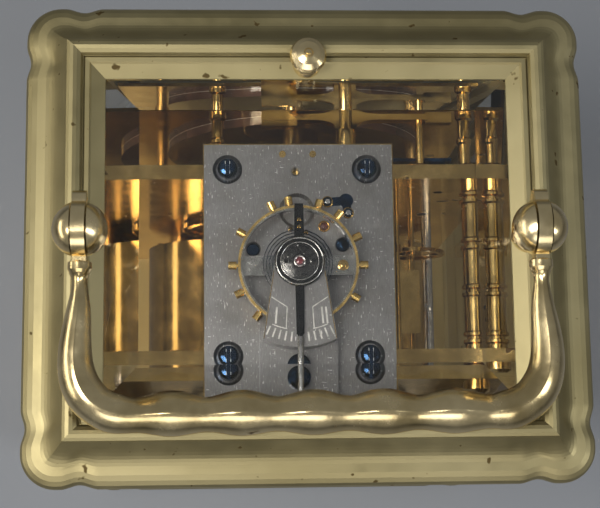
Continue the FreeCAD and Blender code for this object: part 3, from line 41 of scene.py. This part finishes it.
# places on the CAD, in millimetres
BALANCE = (1.35, 3.25)
LEVER = (-3.45, -4.25)
PLATFORM_TOP = 109.0
COCK_TOP = 116.4
CAP_TOP = 117.7
END_PIECE_SCREWS = ((-4.05, -8.5), (-7.64, -6.5))
DIAL_CENTRE = (0.0, 69.0)
DIAL_FRONT = -28.2
PLATFORM_SCREWS = [(x, y) for x in (-11.1, 13.4) for y in (-14.5, 18.4)]
BANKING_PINS = ((2.5, -3.6), (-0.2, -3.1))
NUMERAL_RADIUS = 18.2
MINUTE_TRACK = (22.1, 23.4)
THICK = 0.42              # broad and fine strokes of the numerals
THIN = 0.16


# ---------- materials ----------
class Graph:
    """Small helper that adds and links shader nodes."""

    def __init__(self, name):
        self.material = bpy.data.materials.new(name)
        self.material.use_nodes = True
        self.tree = self.material.node_tree
        self.tree.nodes.clear()
        self.out = self.tree.nodes.new("ShaderNodeOutputMaterial")
        self.coords = self.tree.nodes.new("ShaderNodeTexCoord").outputs["Object"]

    def add(self, kind, **values):
        node = self.tree.nodes.new("ShaderNode" + kind)
        for key, value in values.items():
            if hasattr(node, key):
                setattr(node, key, value)
            else:
                node.inputs[key.replace("_", " ")].default_value = value
        return node

    def link(self, a, b):
        self.tree.links.new(a, b)

    def mapped(self, scale=(1, 1, 1), turn=(0, 0, 0), place=(0, 0, 0)):
        node = self.add("Mapping")
        node.inputs["Scale"].default_value = scale
        node.inputs["Rotation"].default_value = turn
        node.inputs["Location"].default_value = place
        self.link(self.coords, node.inputs["Vector"])
        return node.outputs[0]

    def noise(self, scale, detail=3.0, rough=0.55, vector=None):
        node = self.add("TexNoise", Scale=scale, Detail=detail, Roughness=rough)
        self.link(vector or self.coords, node.inputs["Vector"])
        return node.outputs["Fac"]

    def spread(self, value, low, high, to_low, to_high):
        node = self.add("MapRange")
        for key, number in (("From Min", low), ("From Max", high), ("To Min", to_low), ("To Max", to_high)):
            node.inputs[key].default_value = number
        self.link(value, node.inputs["Value"])
        return node.outputs[0]

    def math(self, what, a, b=None, second=0.5):
        node = self.add("Math", operation=what)
        self.link(a, node.inputs[0])
        if b is None:
            node.inputs[1].default_value = second
        else:
            self.link(b, node.inputs[1])
        return node.outputs[0]

    def mix(self, factor, a, b):
        node = self.tree.nodes.new("ShaderNodeMix")
        node.data_type = "RGBA"
        self.link(factor, node.inputs[0])
        for socket, value in ((6, a), (7, b)):
            if isinstance(value, tuple):
                node.inputs[socket].default_value = (*value, 1.0)
            else:
                self.link(value, node.inputs[socket])
        return node.outputs[2]

    def bump(self, height, distance, strength=1.0):
        node = self.add("Bump", Strength=strength, Distance=distance)
        self.link(height, node.inputs["Height"])
        return node.outputs[0]


def metal(name, light, dark, rough, cloud=45.0, grain=1600.0, grain_depth=0.000004, stretch=(1, 1, 1),
          spots=None, spot_color=(0.05, 0.03, 0.015), rough_swing=0.08):
    """Metal with slow colour clouds, fine grain, rubbed roughness and optional tarnish spots."""
    g = Graph(name)
    shader = g.add("BsdfPrincipled", Metallic=1.0)
    clouds = g.noise(cloud, 4.0)
    color = g.mix(g.spread(clouds, 0.35, 0.65, 0.0, 1.0), dark, light)
    fine = g.noise(grain, 2.0, 0.6, g.mapped(stretch))
    rub = g.noise(cloud * 4.0, 5.0, 0.65)
    roughness = g.spread(rub, 0.3, 0.7, rough - rough_swing, rough + rough_swing)
    if spots:
        dots = g.spread(g.noise(spots, 2.0, 0.5), 0.70, 0.74, 0.0, 1.0)
        color = g.mix(dots, color, spot_color)
        roughness = g.math("ADD", roughness, g.math("MULTIPLY", dots, second=0.25))
    g.link(color, shader.inputs["Base Color"])
    g.link(roughness, shader.inputs["Roughness"])
    g.link(g.bump(fine, grain_depth), shader.inputs["Normal"])
    g.link(shader.outputs[0], g.out.inputs["Surface"])
    return g.material


def clear_glass(name, tint, rough=0.0):
    """Plate glass that lets the lamps through to what lies behind it."""
    g = Graph(name)
    shader = g.add("BsdfPrincipled", Roughness=rough, IOR=1.5)
    shader.inputs["Transmission Weight"].default_value = 1.0
    shader.inputs["Base Color"].default_value = (*tint, 1.0)
    smear = g.noise(60.0, 4.0, 0.6)
    g.link(g.spread(smear, 0.62, 0.85, rough, rough + 0.012), shader.inputs["Roughness"])
    through = g.add("BsdfTransparent")
    through.inputs["Color"].default_value = (*tint, 1.0)
    path = g.add("LightPath")
    blend = g.add("MixShader")
    g.link(path.outputs["Is Shadow Ray"], blend.inputs[0])
    g.link(shader.outputs[0], blend.inputs[1])
    g.link(through.outputs[0], blend.inputs[2])
    g.link(blend.outputs[0], g.out.inputs["Surface"])
    return g.material


def enamel(name):
    """White enamel on the face; the rim and the back painted near-black in a dark copper tone, as painted
    shade.
    """
    g = Graph(name)
    shader = g.add("BsdfPrincipled", Roughness=0.12)
    shader.inputs["Coat Weight"].default_value = 0.4
    white = g.mix(g.noise(90.0, 3.0), (0.86, 0.85, 0.80), (0.93, 0.92, 0.88))
    # Near-black copper tone: painted shade on the dial's rim and back, which lie out of the light behind the
    # face.
    painted_shade_copper = g.mix(g.noise(200.0, 3.0), (0.045, 0.02, 0.012), (0.10, 0.05, 0.03))
    axes = g.add("SeparateXYZ")
    g.link(g.coords, axes.inputs[0])
    behind = g.math("GREATER_THAN", axes.outputs["Y"], second=(DIAL_FRONT + 0.02) * MM)
    g.link(g.mix(behind, white, painted_shade_copper), shader.inputs["Base Color"])
    g.link(g.bump(g.noise(350.0, 2.0), 0.00001), shader.inputs["Normal"])
    g.link(shader.outputs[0], g.out.inputs["Surface"])
    return g.material


# closeness of the marks across and along them, their turn, and where the pattern starts
SCRATCHES = ((5200.0, 900.0, 0.35, 0.1), (1000.0, 5600.0, 0.2, 0.9), (4600.0, 950.0, -0.8, 2.3),
             (5400.0, 800.0, -0.15, 4.1))


def brushed_steel(name):
    """Steel grained from front to back, with faint clouds and short rubbed scratches."""
    g = Graph(name)
    shader = g.add("BsdfPrincipled", Metallic=1.0)
    grain = g.noise(1.0, 4.0, 0.75, g.mapped((9000.0, 700.0, 300.0)))
    speckle = g.noise(2600.0, 3.0, 0.7)
    clouds = g.noise(130.0, 4.0, 0.6)
    worn = None
    for across, along, turn, seed in SCRATCHES:
        marks = g.noise(1.0, 1.0, 0.4, g.mapped((across, along, 300.0), (0, 0, turn), (seed, 0, 0)))
        marks = g.spread(marks, 0.73, 0.81, 0.0, 1.0)
        worn = marks if worn is None else g.math("MAXIMUM", worn, marks)
    color = g.mix(g.spread(grain, 0.3, 0.7, 0.0, 1.0), (0.17, 0.165, 0.165), (0.27, 0.263, 0.26))
    color = g.mix(g.spread(speckle, 0.50, 0.80, 0.0, 0.5), color, (0.22, 0.215, 0.21))
    color = g.mix(g.spread(clouds, 0.45, 0.75, 0.0, 0.5), color, (0.125, 0.112, 0.098))
    color = g.mix(g.math("MULTIPLY", worn, second=0.8), color, (0.85, 0.83, 0.80))
    roughness = g.spread(grain, 0.3, 0.7, 0.33, 0.36)
    g.link(color, shader.inputs["Base Color"])
    g.link(roughness, shader.inputs["Roughness"])
    g.link(g.bump(grain, 0.0000005), shader.inputs["Normal"])
    g.link(shader.outputs[0], g.out.inputs["Surface"])
    return g.material


def two_metal_wheel(name, centre, edge):
    """Brass outside the given radius from the wheel's centre, grey steel inside it."""
    g = Graph(name)
    shader = g.add("BsdfPrincipled", Metallic=1.0)
    distance = g.add("VectorMath", operation="DISTANCE")
    g.link(g.mapped((1.0, 1.0, 0.0)), distance.inputs[0])
    distance.inputs[1].default_value = (centre[0] * MM, centre[1] * MM, 0.0)
    outside = g.math("GREATER_THAN", distance.outputs["Value"], second=edge)
    steel = g.mix(g.noise(700.0, 3.0), (0.30, 0.29, 0.27), (0.50, 0.49, 0.47))
    brass = g.mix(g.noise(500.0, 3.0), (0.66, 0.42, 0.12), (0.84, 0.60, 0.22))
    g.link(g.mix(outside, steel, brass), shader.inputs["Base Color"])
    g.link(g.spread(g.noise(900.0, 3.0), 0.3, 0.7, 0.14, 0.28), shader.inputs["Roughness"])
    g.link(g.bump(g.noise(2600.0, 2.0), 0.000002), shader.inputs["Normal"])
    g.link(shader.outputs[0], g.out.inputs["Surface"])
    return g.material


def ruby(name):
    """Dark red stone."""
    g = Graph(name)
    shader = g.add("BsdfPrincipled", Roughness=0.08, IOR=1.76)
    shader.inputs["Coat Weight"].default_value = 0.6
    stone = g.mix(g.noise(1500.0, 3.0), (0.035, 0.004, 0.006), (0.12, 0.010, 0.014))
    g.link(stone, shader.inputs["Base Color"])
    g.link(shader.outputs[0], g.out.inputs["Surface"])
    return g.material


def paint(name, color):
    """Fired paint with a slightly uneven colour."""
    g = Graph(name)
    shader = g.add("BsdfPrincipled", Roughness=0.3)
    lighter = tuple(2.0 * part + 0.01 for part in color)
    g.link(g.mix(g.noise(900.0, 3.0), color, lighter), shader.inputs["Base Color"])
    g.link(shader.outputs[0], g.out.inputs["Surface"])
    return g.material


CASE_BRASS = metal("lacquered case brass", (0.385, 0.33, 0.18), (0.31, 0.26, 0.13), 0.48, cloud=32.0,
                   grain=1.0, grain_depth=0.000010, stretch=(2600.0, 2600.0, 900.0), spots=420.0,
                   spot_color=(0.12, 0.085, 0.035), rough_swing=0.07)
HANDLE_BRASS = metal("polished handle brass", (0.88, 0.72, 0.42), (0.55, 0.42, 0.20), 0.23, cloud=75.0,
                     grain=2400.0, grain_depth=0.000003, spots=260.0, spot_color=(0.12, 0.07, 0.03),
                     rough_swing=0.06)
GILT_BRASS = metal("gilt movement brass", (0.70, 0.48, 0.18), (0.44, 0.28, 0.085), 0.15, cloud=60.0,
                   grain=2400.0, grain_depth=0.000002, spots=260.0)
BLUED_STEEL = metal("blued steel", (0.035, 0.085, 0.17), (0.006, 0.010, 0.020), 0.11, cloud=500.0,
                    rough_swing=0.04)
BRIGHT_STEEL = metal("polished steel", (0.60, 0.59, 0.57), (0.44, 0.43, 0.42), 0.18, cloud=200.0,
                     spots=500.0)
BLACK_STEEL = metal("black polished steel", (0.075, 0.075, 0.075), (0.03, 0.03, 0.03), 0.13, cloud=400.0,
                    rough_swing=0.04)
CAP_STEEL = metal("dark speckled cap steel", (0.13, 0.125, 0.12), (0.05, 0.05, 0.05), 0.22, cloud=1500.0,
                  spots=2200.0, spot_color=(0.6, 0.58, 0.55))
# Bright steel for the cock's engraved lines; it also paints the highlights along the screw slots' edges.
CUT_AND_SLOT_HIGHLIGHT_STEEL = metal("bright cut lines and painted slot highlights", (0.62, 0.60, 0.56), (0.40, 0.39, 0.36), 0.42, cloud=900.0)
PLATFORM_STEEL = brushed_steel("grained platform steel")
BALANCE_METALS = two_metal_wheel("brass rim on steel balance", BALANCE, 0.0099)
TOP_GLASS = clear_glass("bevelled top glass", (0.985, 0.985, 0.97))
FRONT_GLASS = clear_glass("bevelled front glass", (0.94, 0.95, 0.93))
# The side glass's strong brown tint is painted shade: it darkens the inside of the case and the floor seen
# through the sides, and dims the lamps shining in.
SIDE_GLASS = clear_glass("bevelled side glass", (0.70, 0.62, 0.50))
DIAL_ENAMEL = enamel("white dial enamel")
RUBY = ruby("ruby jewel")
BLACK_PAINT = paint("fired black paint", (0.012, 0.012, 0.014))

FINISH = {
    "case_brass": CASE_BRASS, "polished_brass": HANDLE_BRASS, "glass": SIDE_GLASS, "blued_steel": BLUED_STEEL,
    "platform_steel": PLATFORM_STEEL, "movement_brass": GILT_BRASS, "polished_steel": BRIGHT_STEEL,
    "black_steel": BLACK_STEEL, "dial_enamel": DIAL_ENAMEL,
}
FINISH_OF_ONE = {"top_glass": TOP_GLASS, "front_glass": FRONT_GLASS, "back_door_glass": FRONT_GLASS,
                 "balance_wheel": BALANCE_METALS}

for part in frame["record"]["subparts"]:
    node = NODES[part["node"]]
    finish = FINISH_OF_ONE.get(part["node"], FINISH[part["material_slot"]])
    if not node.data.materials:
        node.data.materials.append(finish)
    for index in range(len(node.data.materials)):
        node.data.materials[index] = finish


# ---------- modelling helpers ----------
def settle(name, material, body, soft=0.00003, angle=35.0):
    """Fix the active piece's place in its mesh, break its sharp edges, shade it and tie it to its body."""
    piece = bpy.context.object
    piece.name = name
    piece.data.name = name
    bpy.ops.object.transform_apply(location=True, rotation=True, scale=True)
    if soft:
        bpy.ops.object.mode_set(mode="EDIT")
        bpy.ops.mesh.select_all(action="DESELECT")
        bpy.ops.mesh.edges_select_sharp(sharpness=math.radians(50))
        bpy.ops.mesh.bevel(offset=soft, segments=2, affect="EDGES")
        bpy.ops.object.mode_set(mode="OBJECT")
    bpy.ops.object.shade_smooth_by_angle(angle=math.radians(angle))
    piece.data.materials.clear()
    piece.data.materials.append(material)
    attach(piece, body)
    return piece


def fresh():
    """Nothing selected, ready for the next piece."""
    bpy.ops.object.select_all(action="DESELECT")


def rod(name, at, radius, height, material, body, turn=(0, 0, 0), soft=0.00004, sides=40):
    """Round bar or disc standing on the point given, in millimetres."""
    fresh()
    up = Matrix.Rotation(turn[0], 3, "X") @ Vector((0, 0, height / 2.0))
    place = Vector(at) + up
    bpy.ops.mesh.primitive_cylinder_add(vertices=sides, radius=radius * MM, depth=height * MM,
                                        location=place * MM, rotation=turn)
    return settle(name, material, body, soft)


def hoop(name, at, radius, wire, material, body, turn=(0, 0, 0), steps=64):
    """Ring of round wire."""
    fresh()
    bpy.ops.mesh.primitive_torus_add(major_radius=radius * MM, minor_radius=wire * MM, major_segments=steps,
                                     minor_segments=14, location=Vector(at) * MM, rotation=turn)
    return settle(name, material, body, 0, 60.0)


def jewel(name, at, radius, body):
    """Low domed stone."""
    fresh()
    bpy.ops.mesh.primitive_uv_sphere_add(segments=32, ring_count=16, radius=radius * MM,
                                         location=Vector(at) * MM, scale=(1, 1, 0.55))
    bpy.ops.object.mode_set(mode="EDIT")
    bpy.ops.mesh.select_all(action="SELECT")
    bpy.ops.mesh.bisect(plane_co=Vector(at) * MM, plane_no=(0, 0, 1), use_fill=True, clear_inner=True)
    bpy.ops.object.mode_set(mode="OBJECT")
    return settle(name, RUBY, body, 0, 50.0)


def stroke(name, a, b, width, level, height, material, body, upright=False, soft=0.0):
    """Straight bar from a to b, lying on the level given: flat on a table, or upright on the dial."""
    fresh()
    middle = ((a[0] + b[0]) / 2.0, (a[1] + b[1]) / 2.0)
    length = math.hypot(b[0] - a[0], b[1] - a[1])
    slope = math.atan2(b[1] - a[1], b[0] - a[0])
    if upright:
        place = Vector((middle[0], level - height / 2.0, middle[1]))
        turn = (0, -slope, 0)
        size = (length, height, width)
    else:
        place = Vector((middle[0], middle[1], level + height / 2.0))
        turn = (0, 0, slope)
        size = (length, width, height)
    bpy.ops.mesh.primitive_cube_add(size=1.0, location=place * MM, rotation=turn, scale=Vector(size) * MM)
    return settle(name, material, body, soft)


def joined(name, pieces):
    """One piece made from several that belong together."""
    fresh()
    for piece in pieces:
        piece.select_set(True)
    bpy.context.view_layer.objects.active = pieces[0]
    bpy.ops.object.join()
    pieces[0].name = name
    return pieces[0]


def about(centre, radius, degrees):
    """Point on a circle about the centre."""
    angle = math.radians(degrees)
    return (centre[0] + radius * math.cos(angle), centre[1] + radius * math.sin(angle))


# ---------- small parts over the platform ----------
def jewel_settings():
    """Brass chatons and stones of the lever and the balance, and the collars of the end-piece screws."""
    hoop("lever_jewel_ring", (*LEVER, PLATFORM_TOP + 0.02), 0.85, 0.2, GILT_BRASS, "clock")
    jewel("lever_jewel", (*LEVER, PLATFORM_TOP - 0.1), 0.7, "clock")
    hoop("cap_outer_ring", (*BALANCE, CAP_TOP + 0.2), 3.95, 0.13, BRIGHT_STEEL, "clock", steps=96)
    hoop("cap_inner_ring", (*BALANCE, CAP_TOP + 0.14), 3.2, 0.10, BRIGHT_STEEL, "clock", steps=96)
    rod("cap_plate", (*BALANCE, CAP_TOP - 0.06), 3.05, 0.12, CAP_STEEL, "clock", sides=72)
    for side in (-1, 1):
        rod("cap_screw_%d" % (side + 1), (BALANCE[0] + side * 2.1, BALANCE[1], CAP_TOP), 0.34, 0.24,
            BRIGHT_STEEL, "clock", soft=0.0001)
    hoop("balance_jewel_ring", (*BALANCE, CAP_TOP + 0.1), 0.85, 0.22, BRIGHT_STEEL, "clock")
    jewel("balance_jewel", (*BALANCE, CAP_TOP - 0.05), 0.75, "clock")
    for number, (x, y) in enumerate(END_PIECE_SCREWS):
        hoop("end_piece_collar_%d" % number, (x, y, PLATFORM_TOP + 0.72), 0.82, 0.2, GILT_BRASS, "clock")
        rod("end_piece_stud_%d" % number, (x, y, PLATFORM_TOP + 0.9), 0.45, 0.3, BRIGHT_STEEL, "clock")
    for number, (x, y) in enumerate(BANKING_PINS):
        rod("banking_pin_%d" % number, (x, y, PLATFORM_TOP - 0.3), 0.4, 1.5, GILT_BRASS, "clock", soft=0.00012)


def slot_edge_highlights():
    """Edges of the four large screws' slots, drawn as thin bright steel strokes: painted highlights along the
    slot edges.
    """
    edges = []
    for x, y in PLATFORM_SCREWS:
        for side in (-1, 1):
            at = x + side * 0.39
            edges.append(stroke("slot_edge", (at, y - 1.1), (at, y + 1.1), 0.08, PLATFORM_TOP + 1.66, 0.13,
                                CUT_AND_SLOT_HIGHLIGHT_STEEL, "clock"))
    joined("slot_edge_highlights", edges)


def regulator_fittings():
    """Bright tip of the index and the two small brass heads over its curb pins."""
    x, y = BALANCE
    rod("index_tip", (x, y + 12.6, COCK_TOP + 0.62), 0.5, 9.1, BRIGHT_STEEL, "regulator",
        turn=(math.radians(-90), 0, 0), soft=0.00015)
    for number, reach in enumerate((7.2, 5.95)):
        rod("curb_head_%d" % number, (x, y - reach, COCK_TOP + 0.66), 0.34, 0.36, GILT_BRASS, "regulator",
            soft=0.00012)


def balance_fittings():
    """Brass screw head with its washer in one end of the balance's arm."""
    at = (BALANCE[0] - 7.7, BALANCE[1], 113.0)
    rod("arm_washer", (at[0], at[1], at[2] - 0.02), 0.95, 0.12, GILT_BRASS, "balance")
    rod("arm_screw", at, 0.5, 0.4, GILT_BRASS, "balance", soft=0.0001)


def cock_engraving():
    """Scale cut in the cock's table: ticks on an arc, two framed marks and the bright bevelled edges."""
    level = COCK_TOP
    cuts = []

    def cut(a, b, width=0.16, material=CUT_AND_SLOT_HIGHLIGHT_STEEL):
        cuts.append(stroke("cock_line", a, b, width, level - 0.03, 0.06, material, "clock"))

    for side in (-1, 1):
        for step in range(5):
            degrees = 90.0 + side * (6.5 + 4.6 * step)
            cut(about(BALANCE, 11.9, degrees), about(BALANCE, 13.5, degrees), 0.26)
        corners = [(side * 4.75, 5.9), (side * 2.15, 7.6), (side * 2.35, 11.3)]
        corners = [(BALANCE[0] + a, BALANCE[1] + b) for a, b in corners]
        cut(corners[0], corners[1])
        cut(corners[1], corners[2])
        arc = [about(BALANCE, 11.5, 90.0 + side * (11.0 + 2.6 * step)) for step in range(6)]
        for a, b in zip(arc, arc[1:]):
            cut(a, b)
    for x in (-4.45, -3.75, 3.95):
        cut((BALANCE[0] + x * 0.98, BALANCE[1] + 7.6), (BALANCE[0] + x * 1.04, BALANCE[1] + 10.4), 0.3)
    joined("cock_engraving", cuts)
    edges = []
    for side in (-1, 1):
        top = (BALANCE[0] + side * 4.3, BALANCE[1] + 1.4)
        foot = (BALANCE[0] + side * 6.1, BALANCE[1] + 12.9)
        edges.append(stroke("cock_edge", top, foot, 0.14, level - 0.05, 0.1, GILT_BRASS, "clock"))
    joined("cock_bevels", edges)


def platform_edges():
    """Bright chamfer along the platform's upper edges."""
    left, right, front, back = 17.62, -15.72, -19.02, 24.12
    corners = [(left, front), (right, front), (right, back), (left, back)]
    lines = [stroke("platform_edge", a, b, 0.16, PLATFORM_TOP - 0.08, 0.11, GILT_BRASS, "clock")
             for a, b in zip(corners, corners[1:] + corners[:1])]
    joined("platform_chamfers", lines)


# ---------- dial ----------
def dial_place(u, v, degrees):
    """Point u across and v out from the dial's centre, turned clockwise by the hour's angle."""
    a = math.radians(-degrees)
    x, z = DIAL_CENTRE
    return (x + u * math.cos(a) - v * math.sin(a), z + u * math.sin(a) + v * math.cos(a))


def numeral_strokes(text):
    """Strokes of a Roman numeral as (u0, v0, u1, v1, width), centred on its middle."""
    widths = {"I": 1.1, "V": 2.3, "X": 2.3}
    total = sum(widths[letter] for letter in text)
    at = -total / 2.0
    half = 2.3
    out = []
    for letter in text:
        wide = widths[letter]
        left, right = at + 0.32, at + wide - 0.32
        middle = at + wide / 2.0
        if letter == "I":
            out.append((middle, -half, middle, half, THICK))
        elif letter == "V":
            out += [(left, half, middle, -half, THICK), (right, half, middle, -half, THIN)]
        else:
            out += [(left, half, right, -half, THICK), (right, half, left, -half, THIN)]
        at += wide
    for level in (half, -half):
        out.append((-total / 2.0, level, total / 2.0, level, THIN))
    return out


def dial_printing():
    """Roman numerals and the minute track, fired on the enamel."""
    numerals = ("XII", "I", "II", "III", "IIII", "V", "VI", "VII", "VIII", "IX", "X", "XI")
    marks = []
    for hour, text in enumerate(numerals):
        degrees = 30.0 * hour
        for u0, v0, u1, v1, width in numeral_strokes(text):
            start = dial_place(u0, v0 + NUMERAL_RADIUS, degrees)
            end = dial_place(u1, v1 + NUMERAL_RADIUS, degrees)
            marks.append(stroke("hour_mark", start, end, width, DIAL_FRONT, 0.04, BLACK_PAINT, "clock",
                                upright=True))
    joined("hour_numerals", marks)
    ticks = []
    for minute in range(60):
        width = 0.45 if minute % 5 == 0 else THIN
        start, end = [dial_place(0, radius, 6.0 * minute) for radius in MINUTE_TRACK]
        ticks.append(stroke("minute_mark", start, end, width, DIAL_FRONT, 0.04, BLACK_PAINT, "clock",
                            upright=True))
    joined("minute_ticks", ticks)
    for name, radius in zip(("minute_ring_inner", "minute_ring_outer"), MINUTE_TRACK):
        hoop(name, (DIAL_CENTRE[0], DIAL_FRONT, DIAL_CENTRE[1]), radius, 0.06, BLACK_PAINT, "clock",
             turn=(math.radians(90), 0, 0), steps=120)


jewel_settings()
slot_edge_highlights()
regulator_fittings()
balance_fittings()
cock_engraving()
platform_edges()
dial_printing()


# ---------- lamps, floor and camera ----------
def lamp(name, place, aim, size, power, color, spread):
    """Soft rectangular lamp that faces the point aimed at."""
    data = bpy.data.lights.new(name, "AREA")
    data.shape = "RECTANGLE"
    data.size, data.size_y = size
    data.energy = power
    data.color = color
    data.spread = math.radians(spread)
    obj = bpy.data.objects.new(name, data)
    SCENE.collection.objects.link(obj)
    obj.location = place
    obj.rotation_mode = "QUATERNION"
    obj.rotation_quaternion = (Vector(aim) - Vector(place)).to_track_quat("-Z", "Y")


def studio():
    """Lamps, an even pale sky and the pale floor."""
    lamp("window_left", (0.30, 0.10, 0.60), (0, 0, 0.10), (0.20, 0.40), 1.05, (1.0, 0.98, 0.94), 110)
    lamp("window_low", (0.55, 0.02, 0.22), (0, 0, 0.06), (0.50, 0.09), 0.26, (1.0, 0.95, 0.84), 120)
    lamp("window_right", (-0.42, 0.16, 0.50), (0, 0, 0.10), (0.12, 0.4), 0.4, (0.93, 0.96, 1.0), 110)
    lamp("back_fill", (0.05, 0.50, 0.42), (0, 0, 0.10), (0.5, 0.25), 0.35, (1.0, 0.98, 0.95), 110)
    world = bpy.data.worlds.new("soft studio")
    world.use_nodes = True
    SCENE.world = world
    sky = world.node_tree.nodes["Background"]
    sky.inputs["Color"].default_value = (0.95, 0.98, 1.0, 1.0)
    sky.inputs["Strength"].default_value = 0.22
    fresh()
    bpy.ops.mesh.primitive_plane_add(size=3.0, location=(0, 0, -0.0002))
    floor = bpy.context.object
    floor.name = "floor"
    g = Graph("pale floor")
    shader = g.add("BsdfPrincipled", Roughness=0.75)
    g.link(g.mix(g.noise(20.0, 4.0), (0.205, 0.215, 0.235), (0.225, 0.235, 0.255)), shader.inputs["Base Color"])
    g.link(shader.outputs[0], g.out.inputs["Surface"])
    floor.data.materials.append(g.material)


def photographer():
    """Camera above the clock, looking down through the top glass."""
    data = bpy.data.cameras.new("camera")
    data.lens = 85.39
    data.sensor_width = 36.0
    data.clip_start = 0.01
    camera = bpy.data.objects.new("camera", data)
    SCENE.collection.objects.link(camera)
    right = Vector((-0.99869, 0.01333, 0.04933))
    up = Vector((-0.00510, -0.98656, 0.16334))
    back = right.cross(up)
    turn = Matrix((right, up, back)).transposed().to_4x4()
    camera.matrix_world = Matrix.Translation((0.01347, 0.04109, 0.35548)) @ turn
    SCENE.camera = camera


studio()
photographer()
SCENE.view_settings.view_transform = "Standard"


def corners(pair):
    """Lowest and highest corner as plain lists."""
    return [[round(v, 6) for v in point] for point in pair]
